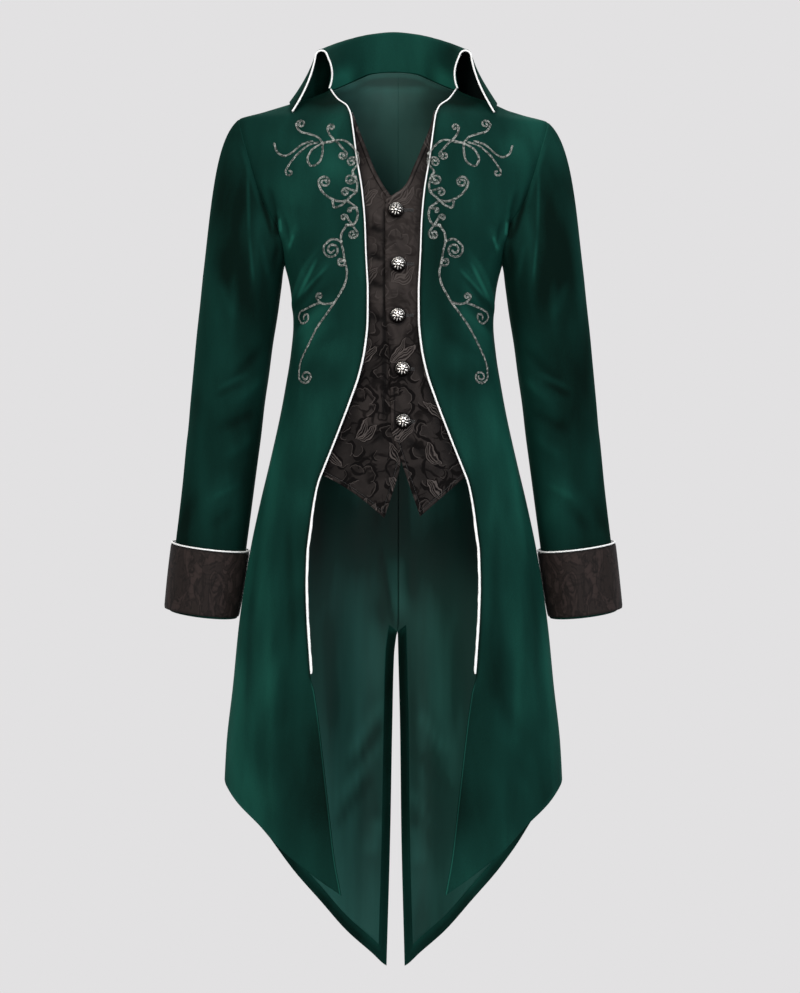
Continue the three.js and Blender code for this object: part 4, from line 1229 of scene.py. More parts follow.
def thread_material(name, groove, base, shine, rough, metal=0.0, uneven=0.0):
    """Twisted thread: painted shade darkens its grooves and underside, and its crowns are painted bright.
    """
    material, nodes, shader = surface(name, {
        "Sheen Weight": 0.2, "Sheen Roughness": 0.4, "Specular IOR Level": 0.5, "Metallic": metal,
    })
    place = nodes.place()
    fibre = nodes.noise(place, 700, 2)
    groove_shade = nodes.math("MULTIPLY", nodes.attribute("recess"), -0.7)
    tone = nodes.math("ADD", groove_shade, nodes.math("MULTIPLY", fibre, 0.5))
    tone = nodes.math("ADD", nodes.sway(tone, nodes.noise(place, 330, 1), uneven), 0.6)
    nodes.fill(shader, {
        "Base Color": nodes.ramp(tone, [(0.0, groove), (0.5, base), (1.0, shine)]),
        "Roughness": nodes.step(fibre, 0.2, 0.8, rough, rough + 0.2),
        "Normal": nodes.bump(fibre, 0.3, 0.0002),
    })
    return material


def silver_material(name):
    """Cast silver gone dark in its hollows and rubbed bright on its crowns, with painted shade on its lower
    side, its rim and its underside.
    """
    material, nodes, shader = surface(name, {"Metallic": 1.0, "Specular IOR Level": 0.5})
    place = nodes.place()
    recess = nodes.sway(nodes.attribute("recess"), nodes.noise(place, 220, 4), 0.5)
    nodes.fill(shader, {
        "Base Color": nodes.ramp(recess, [(0.05, "#d6d2cc"), (0.3, "#4c4946"), (0.56, "#070606")]),
        "Roughness": nodes.step(recess, 0, 1, 0.2, 0.62),
        "Normal": nodes.bump(nodes.noise(place, 900, 2), 0.15, 0.0002),
    })
    return material


VELVET_FINISH = velvet_material("green_velvet", "#05130f", "#0b2b25", "#184c41", "#2f8a74")
# A darker copy of the velvet, as painted shade, for the collar's face that lies under its fall.
SHADED_VELVET_FINISH = velvet_material("shaded_velvet", "#060908", "#0a1312", "#1a5548", "#1c4f44")
SATIN_FINISH = satin_material("green_satin", "#031512", "#0a2e28", "#2a6058", 0.36)
WOVEN = brocade_group()
BROCADE_FINISH = brocade_material("leaf_brocade", WOVEN, "#2f2a28", "#050404", "#6e6662")
CUFF_FINISH = marbled_material("dark_brocade", WOVEN, "#1c1614", "#0a0807", "#2a2220")
BACKING_FINISH = satin_material("dark_backing", "#0b0a0a", "#151313", "#1f1c1b")
CORD_FINISH = thread_material("white_cord", "#8f8d89", "#f6f6f4", "#ffffff", 0.35)
SILVER_THREAD = thread_material("silver_thread", "#050706", "#353934", "#b6b7b1", 0.4, 0.2, 2.2)
DARK_THREAD = thread_material("dark_thread", "#030303", "#0b0a0a", "#1b1918", 0.6)
SILVER_FINISH = silver_material("antique_silver")


# How strongly a crease's height is painted as light on its top and shade in its hollow, on the velvet,
# the sleeve and the lining.
CREASE_SHINE = {"body": 0.07, "sleeve": 0.08, "lining": 0.1}

# Painted light and shade on the velvet as seen from the front, with pressed and lifted pile
# among them: middle, reach, strength.
BODY_SHADE_AND_NAP = table("x z wide tall lift", [
    (-92, -372, 30, 24, -0.34), (-118, -330, 20, 30, 0.22), (-112, -470, 20, 60, 0.2),
    (-158, -484, 28, 84, 0.42), (-188, -620, 22, 60, 0.34), (-104, -640, 16, 130, -0.26),
    (-132, -830, 26, 60, -0.2), (-112, -548, 20, 30, 0.22), (-158, -690, 22, 80, -0.08),
    (-214, -760, 12, 80, 0.16), (-184, -790, 20, 90, -0.14), (-110, -940, 50, 70, -0.22),
    (-180, -880, 20, 40, -0.1), (-148, -198, 12, 24, 0.12),
    (-170, -930, 40, 30, 0.1), (-116, -200, 22, 44, -0.14), (-118, -40, 30, 26, -0.12),
    (-90, -120, 40, 40, 0.06), (-150, -60, 40, 20, 0.1), (-60, -200, 14, 60, -0.15),
    (-90, 6, 34, 20, -0.9), (-70, -300, 22, 50, -0.16), (-74, -60, 20, 26, -0.1),
    (92, -380, 30, 24, -0.34), (118, -336, 20, 30, 0.18), (112, -476, 20, 60, 0.2),
    (162, -430, 26, 76, 0.28), (150, -650, 22, 100, 0.04), (110, -600, 14, 120, -0.22),
    (128, -800, 24, 80, -0.28), (206, -760, 14, 80, 0.24), (176, -760, 16, 80, -0.08),
    (112, -950, 50, 70, -0.32), (172, -930, 40, 30, 0.1), (108, -196, 22, 44, -0.18),
    (140, -40, 36, 26, -0.22),
    (90, -126, 40, 40, 0.06), (150, -64, 40, 20, 0.1), (60, -206, 14, 60, -0.15),
    (76, -330, 26, 40, -0.16),
    (90, 6, 34, 20, -0.9), (70, -300, 22, 50, -0.16), (74, -60, 20, 26, -0.1),
])
SLEEVE_SHADE_AND_NAP = table("x z wide tall lift", [
    (224, -160, 24, 60, -0.12), (196, -262, 24, 60, -0.24), (186, -330, 14, 40, 0.12),
    (205, -373, 20, 30, 0.12), (170, -385, 16, 40, 0.2),
    (222, -232, 16, 34, -0.24), (240, -330, 26, 70, 0.04), (252, -430, 24, 70, -0.08),
    (226, -555, 30, 40, 0.24), (262, -640, 24, 40, -0.1), (226, -70, 22, 30, 0.14),
])
SLEEVE_SHADE = -0.24

# Painted light and shade on the lining: middle, reach, strength.
LINING_LIGHT_AND_SHADE = table("x z wide tall lift", [
    (0, 20, 90, 50, 0.1), (0, -60, 70, 50, 0.22), (0, -130, 70, 50, 0.5), (-70, -560, 46, 70, -0.22),
    (-20, -580, 40, 60, -0.12), (60, -590, 30, 60, -0.14), (0, -900, 120, 170, 0.02),
    (0, -580, 160, 100, -0.14), (12, -656, 26, 40, -0.18), (46, -1010, 30, 80, -0.13),
    (80, -990, 30, 70, -0.1), (-26, -790, 20, 50, 0.1), (-54, -800, 20, 90, 0.1),
    (-92, -850, 14, 60, -0.1), (-95, -530, 30, 20, 0.14), (95, -530, 30, 20, 0.1),
    (79, -560, 24, 34, 0.16), (-90, -560, 24, 30, 0.14), (-22, -700, 20, 26, -0.12),
])
# Painted highlights and shade along the lining's creases and folds.
LINING_CREASE_LIGHT = table("x1 z1 x2 z2 wide lift", [
    (-24, -470, -22, -590, 3, -0.16), (-22, -590, -2, -716, 3, -0.2), (-16, -590, 4, -706, 4, 0.02),
    (26, -480, 30, -620, 5, 0.1), (-52, -800, -60, -1040, 5, 0.08), (40, -780, 46, -1060, 5, 0.08),
    (-60, 36, 60, 36, 5, -0.12), (-66, 26, 66, 26, 5, 0.1),
    (-64, -905, -16, -825, 8, 0.12), (-78, -965, -18, -885, 8, 0.1), (-60, -930, -12, -850, 8, -0.1),
    (-34, -1046, -20, -990, 10, 0.14), (-90, -1010, -30, -930, 8, -0.1), (-96, -700, -88, -860, 9, -0.1),
    (74, -900, 34, -840, 8, 0.1), (84, -960, 26, -890, 8, -0.1), (36, -1060, 30, -1000, 10, 0.12),
    (94, -720, 84, -880, 9, -0.1), (60, -1010, 22, -950, 8, 0.08),
])


def shading_from(rows, x, z, facing):
    """Painted light and shade, with pressed pile among them on the velvet, on the side that faces front,
    with half their strength behind.
    """
    value = np.zeros(np.shape(x))
    for row in rows:
        value += row["lift"] * (bell(x, row["x"], row["wide"]) * bell(z, row["z"], row["tall"]))
    return value * np.where(facing, 1, 0.5)


def stroked(rows, x, z):
    """Thin strokes along creases, as seen from the front: painted highlights and shade on the lining, and
    the height of the waistcoat's puckers.
    """
    value = np.zeros(np.shape(x))
    for row in rows:
        value += crease(x, z, (row["x1"], row["z1"]), (row["x2"], row["z2"]), row, past=0.1)
    return value


# Painted light and shade beside edges, seams and bands: how bright, how far from the edge and how wide.
# A positive strength is a painted highlight and a negative one painted shade; the bright lines by the
# velvet's seams are painted highlights where the pile parts, and the lining's seam is its own dark line.
# The collar's roll is placed by a share of its width, its lit side and the overlap's shade by x.
MARKS = {
    "top seam": (0.16, 1.3, 1),
    "shade by the side seam": (-0.12, 0, 9),
    "side seam, front": (0.2, 1.3, 1),
    "side seam, back": (0.12, 1.3, 1),
    "centre seam": (0.14, 1.3, 1),
    "shade by the cord": (-0.35, 0, 3.2),
    "shade of the skirt's edge": (-0.2, 0, 36),
    "skirt's bare edge": (0.8, 1.4, 1.1),
    "lining's edge": (0.3, 1, 1.6),
    "lining's pleat": (0.12, 3.5, 3.5),
    "shade under the pleat": (-0.08, 11, 4),
    "lining's seam": (-0.3, 0, 1.1),
    "armhole seam": (0.2, 1.3, 1),
    "cuff's edge": (-0.6, 1, 1.4),
    "collar's roll": (0.06, 0.46, 0.05),
    "collar's lit side": (0.12, 44, 22),
    "collar's end": (-0.25, 0, 14),
    "collar's middle": (0.12, 0, 30),
    "waistcoat's band": (0.22, 2.4, 1.6),
    "groove of the band": (-0.9, 5.5, 0.7),
    "waistcoat's hem": (0.34, 2.6, 1.5),
    "stitching of the hem": (-0.5, 5.3, 0.9),
    "waistcoat's plain edge": (-0.55, 0.5, 0.9),
    "shade by the overlap": (-0.9, -12, 2.4),
    "shade round a button": (-0.7, 0, 2.6),
}


def mark(name, away):
    strength, at, wide = MARKS[name]
    return strength * bell(away, at, wide)


# The body

def front_shading(across, to_side, z):
    """The front's painted light and shade: a highlight by the side seam, shade by the cord and along the
    skirt's edge, and a highlight on its bare edge.
    """
    shade_and_nap = mark("side seam, front", to_side) + mark("shade by the cord", across)
    shade_and_nap += mark("shade of the skirt's edge", across) * ramp((CORD_END + 20 - z) / 60)
    return shade_and_nap + mark("skirt's bare edge", across) * ramp((CORD_END - z) / 20)


def back_shading(across, to_side, up, z):
    """The back's pile: painted highlights where it parts at the seams, and darker in the border by hem and
    vent.
    """
    border = np.minimum(up, np.where(z < VENT_TOP, across, np.inf))
    seams = mark("side seam, back", to_side) + mark("centre seam", across)
    return seams - 0.35 * ramp((17 - border) / 4)


def velvet_panel(name, places, hand, side, inner):
    x, z = places
    point, normal = cloth_point(hand * x, z, side)
    outside, inside = rounded(point, normal, VELVET)
    across, up = run_of(point, 1), run_of(point, 0)
    to_side = across[:, -1:] - across
    # Painted light and shade, with pressed pile among them: spots, seams, creases and the edges of the
    # front or back.
    shade_and_nap = shading_from(BODY_SHADE_AND_NAP, hand * x, z, side < 0)
    shade_and_nap += mark("top seam", up[-1:] - up) + mark("shade by the side seam", to_side)
    shade_and_nap += CREASE_SHINE["body"] * crease_lift(hand * x, z, side)
    shade_and_nap += front_shading(across, to_side, z) if side < 0 else back_shading(across, to_side, up, z)
    obj = wall(name, outside, inside, grid_uv(point), [VELVET_FINISH, inner, VELVET_FINISH],
               marks={"shade_and_nap": shade_and_nap})
    return obj, point, normal


# The lining's centre seam lies a little to one side of the velvet's, and a pleat at its neck edge
# is painted as a highlight with shade under it.
LINING_SHIFT = 1.2
LINING_HEM = 15
LINING_VENT = 8
NECK_PLEAT_REACH = 92


def lining_tone(x, z, hand, up, across):
    """Light and shade of the lining: creases, strokes, its edges, its pleat and its seam."""
    tone = CREASE_SHINE["lining"] * crease_lift(hand * x, z, 1)
    tone += shading_from(LINING_LIGHT_AND_SHADE, hand * x, z, True) + stroked(LINING_CREASE_LIGHT, hand * x, z)
    to_edge = np.minimum(up - LINING_HEM, np.where(z < VENT_TOP, across - LINING_VENT, np.inf))
    tone += mark("lining's edge", to_edge)
    from_top = up[-1:] - up
    at_neck = ramp((NECK_PLEAT_REACH - np.abs(x)) / 10) * ramp((z + 40) / 30)
    tone += (mark("lining's pleat", from_top) + mark("shade under the pleat", from_top)) * at_neck
    seam_shows = ramp((z - VENT_TOP) / 12) * ramp((-400 - z) / 60)
    return tone + mark("lining's seam", across) * seam_shows


def lining_panel(name, places, hand, velvet):
    """The lining, which leaves a velvet border along the hem and the vent."""
    x, z = places
    across = run_of(velvet, 1)
    shift = LINING_SHIFT * bell(across, 0, 8) * ramp((z - VENT_TOP) / 12)
    point, normal = cloth_point(hand * x + shift, z, 1)
    outer = point - normal * (VELVET + SEAM)
    keep = np.zeros(x.shape, bool)
    keep[len(HEM_ROWS):, len(VENT_COLUMNS) - 1:] = True
    keep[len(HEM_ROWS) + TAIL_ROWS - 1:, :] = True
    tone = lining_tone(x, z, hand, run_of(velvet, 0), across)
    obj = wall(name, outer, outer - normal * LINING, grid_uv(point),
               [BACKING_FINISH, SATIN_FINISH, SATIN_FINISH], keep=keep, marks={"shade_and_nap": tone})
    return obj, point, normal


FRONT = front_places()
panels = {}
for hand, word in HANDS:
    back = back_places(hand)
    panels["front", hand] = velvet_panel(f"velvet_front_{word}", FRONT, hand, -1, SATIN_FINISH)
    panels["back", hand] = velvet_panel(f"velvet_back_{word}", back, hand, 1, VELVET_FINISH)
    panels["lining", hand] = lining_panel(f"satin_lining_{word}", back, hand, panels["back", hand][1])


# The sleeves and cuffs

# Points round the arm and their turn, where the rings start to tilt, and rows of the sleeve.
RING = 96
TURN = 2 * np.pi * np.arange(RING) / RING
TILT_FROM = -500
SLEEVE_END = -694
SLEEVE_ROWS = 96
HEAD_ROWS = 26
UNDERARM_AT = -194
MILLIMETRES_A_DEGREE = 0.9


def arm_ring(section):
    out = unit(np.array([1, 0, SLEEVE_LEAN]))
    centre = np.array([section["x"], section["y"], section["z"]])
    ring = centre + section["wide"] * np.cos(TURN)[:, None] * out
    ring[:, 1] -= section["deep"] * np.sin(TURN)
    return ring


def arm_rings(rows, heights):
    readers = {key: smooth(rows, "z", key) for key in ("x", "y", "wide", "deep")}
    rings = np.array([arm_ring({"z": z, **{k: float(r(z)) for k, r in readers.items()}})
                      for z in heights])
    tilted = ramp((TILT_FROM - np.array(heights)) / 100)
    rings[..., 2] -= CUFF_TILT * tilted[:, None] * np.sin(TURN)
    return rings


def evened(line, count):
    run = run_of(line)
    goal = np.linspace(0, run[-1], count)
    return np.stack([np.interp(goal, run, line[:, i]) for i in range(line.shape[1])], 1)


def armhole_ring(front, back):
    """The armhole from the shoulder down the front and up the back, with the way out of it."""
    half = RING // 2
    down = np.concatenate([part[-len(FRONT_YOKE):, -1] for part in front], 1)[::-1]
    up = np.concatenate([part[-len(BACK_YOKE):, -1] for part in back], 1)
    ring = np.concatenate([evened(down, half + 1)[:-1], evened(up, half + 1)[:-1]])
    point, normal = ring[:, :3].copy(), unit(ring[:, 3:])
    point[[0, half], 1] = 0
    along = np.roll(point, -1, 0) - np.roll(point, 1, 0)
    return point, unit(np.cross(normal, along))


def ring_normals(rings, seam=None):
    along = np.roll(rings, -1, 1) - np.roll(rings, 1, 1)
    down = np.gradient(rings, axis=0)
    normal = unit(np.cross(along, down))
    centre = rings.mean(1, keepdims=True)
    if ((rings - centre) * normal).sum(-1).mean() < 0:
        normal = -normal
    if seam is not None:
        lean = np.maximum(0, (normal[0] * seam).sum(-1, keepdims=True))
        normal[0] = unit(normal[0] - lean * seam)
    return normal


def sleeve_rings():
    point, away = armhole_ring(panels["front", 1][1:], panels["back", 1][1:])
    bicep = arm_rings(SLEEVE, [SLEEVE[0]["z"]])[0]
    up_arm = unit(np.array([-SLEEVE_LEAN, 0, 1]))
    cosine = np.cos(TURN)
    leave = unit(np.stack([
        HEAD_WAY["out"] + HEAD_WAY["out_more"] * cosine,
        -HEAD_WAY["front"] * np.sin(TURN),
        HEAD_WAY["down_less"] * cosine - HEAD_WAY["down"],
    ], 1))
    start = point - away * TUCKED
    length = np.linalg.norm(bicep - start, axis=1, keepdims=True)
    bend = start + leave * (HEAD_START * length + HEAD_ROLL)
    settle = bicep + up_arm * HEAD_END * length
    rings = []
    for t in np.concatenate([[0, 0.006, 0.014, 0.026], np.linspace(0.045, 1, HEAD_ROWS)[:-1]]):
        rings.append((1 - t) ** 3 * start + 3 * (1 - t) ** 2 * t * bend
                     + 3 * (1 - t) * t * t * settle + t ** 3 * bicep)
    heights = np.linspace(SLEEVE[0]["z"], SLEEVE_END, SLEEVE_ROWS)
    heights = np.concatenate([heights, [-695.5, -697, SLEEVE[-1]["z"]]])
    rings = np.concatenate([np.array(rings), arm_rings(SLEEVE, heights)])
    pressed_in = bell(rings[..., 2], UNDERARM_AT, 20) * np.maximum(0, -cosine) ** 2
    rings[..., 0] -= UNDERARM * pressed_in
    return rings, away


def sleeve_lift(rings, hand):
    """Creases of one sleeve, each a line round and down the arm."""
    turn = np.degrees(TURN)[None, :] + 0 * rings[..., 0]
    lift = np.zeros(turn.shape)
    for row in SLEEVE_CREASES:
        if row["hand"] in (0, hand):
            middle = (row["turn1"] + row["turn2"]) / 2
            s = ((turn - middle + 180) % 360 - 180) * MILLIMETRES_A_DEGREE
            ends = [((row["turn" + end] - middle) * MILLIMETRES_A_DEGREE, row["z" + end]) for end in "12"]
            lift += crease(s, rings[..., 2], *ends, row)
    down = run_of(rings, 0)
    return lift * ramp(down / 18) * ramp((down[-1:] - down - 95) / 25)


def mirror(points, hand):
    return points * np.array([hand, 1, 1])


def ring_uv(rings):
    around = np.linalg.norm(np.roll(rings, -1, 1) - rings, axis=-1).sum(1).mean()
    u = np.arange(rings.shape[1]) / rings.shape[1] * around
    return np.stack(np.broadcast_arrays(u[None, :], rings[..., 2]), -1)


BARE_RINGS, ARMHOLE_AWAY = sleeve_rings()
BARE_NORMALS = ring_normals(BARE_RINGS, ARMHOLE_AWAY)


def sleeve(name, hand):
    lift = sleeve_lift(BARE_RINGS, hand)
    rings = BARE_RINGS + BARE_NORMALS * lift[..., None]
    normals = ring_normals(rings, ARMHOLE_AWAY)
    outside, inside = rounded(rings, normals, VELVET, wrap=True)
    # Painted light and shade on the sleeve: darker all over, with spots, creases and a highlight by the
    # armhole seam.
    shade_and_nap = SLEEVE_SHADE + shading_from(SLEEVE_SHADE_AND_NAP, rings[..., 0], rings[..., 2], normals[..., 1] < 0)
    shade_and_nap += CREASE_SHINE["sleeve"] * lift + mark("armhole seam", run_of(rings, 0))
    obj = wall(name, mirror(outside, hand), mirror(inside, hand), ring_uv(rings),
               [VELVET_FINISH, SATIN_FINISH, VELVET_FINISH], wrap=True, marks={"shade_and_nap": shade_and_nap})
    return obj, mirror(rings, hand), normals


# The cuff stands a little away from the sleeve, and its edges are turned in.
CUFF_TOP, CUFF_HEM = CUFF[0]["z"], CUFF[-1]["z"]
CUFF_HEIGHTS = np.concatenate([
    CUFF_TOP - np.array(NEAR_EDGE), np.linspace(-614, -690, 26), [-691.6, -693.2, -694.2, CUFF_HEM],
])
CUFF_DENTS = table("deep waves start lean", [(0.5, 3, 1, 1), (0.35, 5, 0, -1)])


def cuff(name, hand):
    rings = arm_rings(CUFF, CUFF_HEIGHTS)
    normals = ring_normals(rings)
    share = (CUFF_TOP - CUFF_HEIGHTS[:, None]) / (CUFF_TOP + 4 - CUFF_HEM)
    dents = sum(row["deep"] * np.sin(row["waves"] * TURN + row["start"] + row["lean"] * hand)
                for row in CUFF_DENTS)
    rings = rings + normals * (dents * np.sin(np.pi * share))[..., None]
    outside, inside = rounded(rings, normals, BROCADE, wrap=True)
    # Painted shade along the cuff's edges.
    edge = mark("cuff's edge", edge_distance(rings, True))
    obj = wall(name, mirror(outside, hand), mirror(inside, hand), ring_uv(rings),
               [CUFF_FINISH, BACKING_FINISH, CUFF_FINISH], wrap=True, marks={"shade_and_nap": edge})
    return obj, mirror(rings, hand), normals


for hand, word in HANDS:
    panels["sleeve", hand] = sleeve(f"velvet_sleeve_{word}", hand)
    panels["cuff", hand] = cuff(f"brocade_cuff_{word}", hand)


# The collar

def line_reader(key):
    second = COLLAR_SECTIONS[1]
    beyond = {"at": -second["at"], key: (-second[key][0],) + second[key][1:]}
    rows = [{"at": row["at"], "x": row[key][0], "y": row[key][1], "z": row[key][2]}
            for row in [beyond] + COLLAR_SECTIONS]
    readers = [smooth(rows, "at", axis) for axis in "xyz"]
    return lambda at: np.stack([read(at) for read in readers], -1)


collar_neck = line_reader("neck")
collar_fold = line_reader("fold")
collar_edge = line_reader("edge")
collar_roll = smooth([{**COLLAR_SECTIONS[1], "at": -0.22}] + COLLAR_SECTIONS, "at", "roll")
COLLAR_POINTS = 72
COLLAR_ROUNDS = 12
COLLAR_SHADE = -0.02
COLLAR_SHARES = (*np.linspace(0, 0.985, 66), 0.9905, 0.9955, 1)


def collar_profile(at):
    """The collar's mid-line at one share of the way from the nape to its front end."""
    neck = collar_neck(at) + np.array([0, 0, COLLAR_LIFT - COLLAR_SET])
    radius = float(collar_roll(at))
    along = collar_fold(min(1, at + COLLAR_STEP)) - collar_fold(at - COLLAR_STEP)
    along[2] = 0
    along = unit(along)
    out = np.array([-along[1], along[0], 0])
    up = np.array([0, 0, 1])
    core = collar_fold(at) - up * radius
    roll_start = core - out * radius
    roll_end = core + out * radius
    t = np.linspace(0, 1, 20)[:, None]
    stand = mix(neck, roll_start, t) - out * mix(NAPE_BOW, STAND_BOW, at) * 4 * t * (1 - t)
    turn = np.linspace(0, np.pi, 13)[1:-1, None]
    roll = core - out * radius * np.cos(turn) + up * radius * np.sin(turn)
    edge = pressed(collar_edge(at)[None])
    edge = (edge + normal_at(edge[:, 0], edge[:, 1], edge[:, 2]) * (COLLAR / 2 + COLLAR_REST))[0]
    fall = mix(roll_end, edge, t) - out * FALL_BOW * at * at * 4.5 * t * (1 - t)
    line = np.concatenate([stand, roll, fall])
    line = evened(line, COLLAR_POINTS * 2)
    for _ in range(COLLAR_ROUNDS):
        line[1:-1] = (line[:-2] + 2 * line[1:-1] + line[2:]) / 4
    run = run_of(line)
    share = lines(COLLAR_POINTS, run[-1]) * run[-1]
    return np.stack([np.interp(share, run, line[:, i]) for i in range(3)], 1)


def collar_middle():
    right = [collar_profile(at) for at in COLLAR_SHARES]
    left = [mirror(line, -1) for line in right[:0:-1]]
    return np.array(left + right)


COLLAR_MIDDLE = collar_middle()


def collar_shading():
    """The collar's painted light and shade, from the stand's seam at 0 to the fall's edge at 1."""
    share = np.linspace(0, 1, COLLAR_MIDDLE.shape[1])[None, :]
    along = run_of(COLLAR_MIDDLE, 0)
    ends = np.minimum(along, along[-1:] - along)
    shade_and_nap = COLLAR_SHADE + mark("collar's roll", share) + mark("collar's end", ends)
    shade_and_nap += mark("collar's middle", along - along[-1:] / 2)
    shade_and_nap += mark("collar's lit side", COLLAR_MIDDLE[..., 0])
    # Painted: near the collar's ends the shade under the wing is lifted back towards green by the stand's
    # seam and deepened a little above.
    under_wing = 0.7 * ramp((0.24 - share) / 0.2) - 0.1 * ramp((share - 0.2) / 0.1)
    return shade_and_nap + under_wing * ramp((90 - ends) / 40)


def collar():
    normal = slopes(COLLAR_MIDDLE)
    outside, inside = rounded(COLLAR_MIDDLE + normal * COLLAR / 2, normal, COLLAR)
    # The collar's face under its fall takes the darker copy of the velvet, as painted shade.
    return wall("velvet_collar", outside, inside, grid_uv(COLLAR_MIDDLE),
                [SHADED_VELVET_FINISH, VELVET_FINISH, VELVET_FINISH], marks={"shade_and_nap": collar_shading()})


collar_obj = collar()


# The waistcoat fronts

BAND = 5.2
BAND_RISE = 0.8
BAND_COLUMNS = (*NEAR_EDGE, 4.3, 4.8, 5.2, 5.6, 6.1, 7.2, 9)
VEST_ROW = 3
NECK_CORNER = 6
HEM_CORNER = 13


def vest_places(rows):
    """Flat places of a waistcoat front, with its corners kept sharp."""
    corners = [i for i, row in enumerate(rows) if row["corner"]]
    indexed = [{**row, "i": i} for i, row in enumerate(rows)]
    parts = []
    for first, last in zip(corners[:-1], corners[1:]):
        own = indexed[first:last + 1]
        count = max(8, int((own[0]["z"] - own[-1]["z"]) / VEST_ROW))
        at = np.linspace(first, last, count + 1)[(0 if first == 0 else 1):]
        parts.append({k: smooth(own, "i", k)(at) for k in ("x", "z", "under_x", "under_z", "bow")})
    read = {k: np.concatenate([part[k] for part in parts]) for k in parts[0]}
    length = np.hypot(read["under_x"] - read["x"], read["under_z"] - read["z"])
    near = np.array(BAND_COLUMNS) / length[:, None]
    even = np.linspace(0, 1, 34)[1:]
    u = np.concatenate([near, mix(near[:, -1:], 1, even)], 1)
    x = mix(read["x"][:, None], read["under_x"][:, None], u)
    z = mix(read["z"][:, None], read["under_z"][:, None], u) + read["bow"][:, None] * 4 * u * (1 - u)
    return x, z


def far_from(line, x, z):
    """Distance of flat places from a line of flat points."""
    best = np.full(np.shape(x), 1e9)
    for a, b in zip(line[:-1], line[1:]):
        d = b - a
        t = np.clip(((x - a[0]) * d[0] + (z - a[1]) * d[1]) / max(1e-9, d @ d), 0, 1)
        best = np.minimum(best, np.hypot(x - a[0] - t * d[0], z - a[1] - t * d[1]))
    return best


# Puckers of the waistcoat beside its overlap and below the last button.
VEST_PUCKERS = table("x1 z1 x2 z2 wide lift", [
    (-13, -172, -31, -160, 5, 1.4), (-13, -188, -30, -180, 4, -1.6), (-13, -206, -33, -194, 6, 1.4),
    (-13, -226, -31, -216, 4, -1.6), (-13, -244, -34, -230, 6, 1.5), (-13, -262, -31, -254, 4, -1.5),
    (-13, -284, -34, -268, 6, 1.4), (-13, -306, -32, -296, 4, -1.4), (-13, -330, -36, -312, 7, 1.2),
    (-12, -356, -38, -340, 5, -1), (-8, -446, -46, -424, 5, 1), (-6, -462, -50, -446, 5, -1),
    (20, -448, 52, -470, 5, 0.9), (18, -460, 46, -486, 4, -0.9), (24, -372, 44, -392, 5, 0.7),
    (20, -300, 32, -312, 4, 0.6), (20, -232, 31, -244, 4, 0.6), (30, -160, 20, -186, 5, 0.5),
])


def puckered(x, z, hand):
    lift = stroked(VEST_PUCKERS, x, z)
    return lift * (ramp((-11.5 - x) / 3) if hand < 0 else ramp((x - 2) / 8))


def vest_band(to_neck, below):
    """How far the band along the neckline stands out, with a groove at its inner side."""
    band = BAND_RISE * (1 - ramp((to_neck - BAND + 0.5) / 0.7)) - 0.35 * bell(to_neck, BAND + 0.4, 0.5)
    return band * ramp((4 - below) / 4)


def vest_tone(x, z, hand, lift, to_neck, to_edge):
    """Light and shade of the brocade: its bands, puckers and hems, the overlap and the buttons."""
    tone = mark("waistcoat's band", to_neck) + mark("groove of the band", to_neck)
    tone += 0.16 * ramp((z + 340) / 80) - 0.42 * ramp((-300 - z) / 90) - 0.12 * ramp((-400 - z) / 60)
    tone += np.where(lift > 0, 0.22, 0.5) * lift
    tone -= (0.2 if hand < 0 else 0.06) * ramp((z + 400) / 60)
    low = ramp((-380 - z) / 30)
    tone += low * (mark("waistcoat's hem", to_edge) + mark("stitching of the hem", to_edge))
    tone += (1 - low) * mark("waistcoat's plain edge", to_edge)
    if hand < 0:
        tone += mark("shade by the overlap", x) * ramp((-150 - z) / 10) * ramp((z + 440) / 20)
    under = np.maximum(opening(z) - np.abs(x), 0)
    tone -= 0.6 * np.exp(-(under / 9) ** 1.3) * (z < -30)
    for row in BUTTONS:
        round_it = np.hypot(x - row["x"], z - row["z"] + 1.2) - BUTTON_RADIUS
        tone += mark("shade round a button", np.maximum(round_it, 0))
    return tone


def vest_front(name, hand, rows, depth):
    x, z = vest_places(rows)
    point, normal = cloth_point(x, z, -1)
    lift = puckered(x, z, hand)
    point = point + normal * lift[..., None]
    corner = rows[NECK_CORNER]["z"]
    at_neck = z[:, 0] > corner - 0.5
    to_neck = far_from(np.stack([x[at_neck, 0], z[at_neck, 0]], 1), x, z)
    outside, inside = rounded(point - normal * depth, normal, BROCADE)
    outside = outside + normal * vest_band(to_neck, corner - z)[..., None]
    tone = vest_tone(x, z, hand, lift, to_neck, edge_distance(point))
    obj = wall(name, outside, inside, np.stack([x - PATTERN_SHIFT * (hand < 0), z], -1),
               [BROCADE_FINISH, BACKING_FINISH, BROCADE_FINISH], marks={"shade_and_nap": tone})
    return obj, point, normal, x, z


# The right front's pattern is shifted so that the two don't match across the overlap.
PATTERN_SHIFT = 37
vests = {
    1: vest_front("brocade_vest_left", 1, VEST_LEFT, VEST_LEFT_DEPTH),
    -1: vest_front("brocade_vest_right", -1, VEST_RIGHT, VEST_RIGHT_DEPTH),
}


# The buttons

BUTTON_PROFILE = table("r h", [
    (0, 5.8), (0.25, 5.62), (0.5, 5.1), (0.7, 4.35), (0.86, 3.4), (0.95, 2.7), (1, 2), (1.001, 1.6),
])
button_rise = smooth(BUTTON_PROFILE, "r", "h")
BUTTON_RINGS = 34
BUTTON_SIDES = 72

# The relief: rings of petals or beads by their place, depth, spread, number and turn.
BUTTON_RELIEF = table("r lift spread petals turn", [
    (0.56, 0.42, 0.15, 9, 0), (0, 0.3, 0.13, 0, 0), (0.24, -0.35, 0.05, 0, 0),
    (0.36, 0.25, 0.07, 5, 0.8), (0.8, -0.45, 0.04, 0, 0), (0.9, 0.25, 0.05, 24, 0),
])


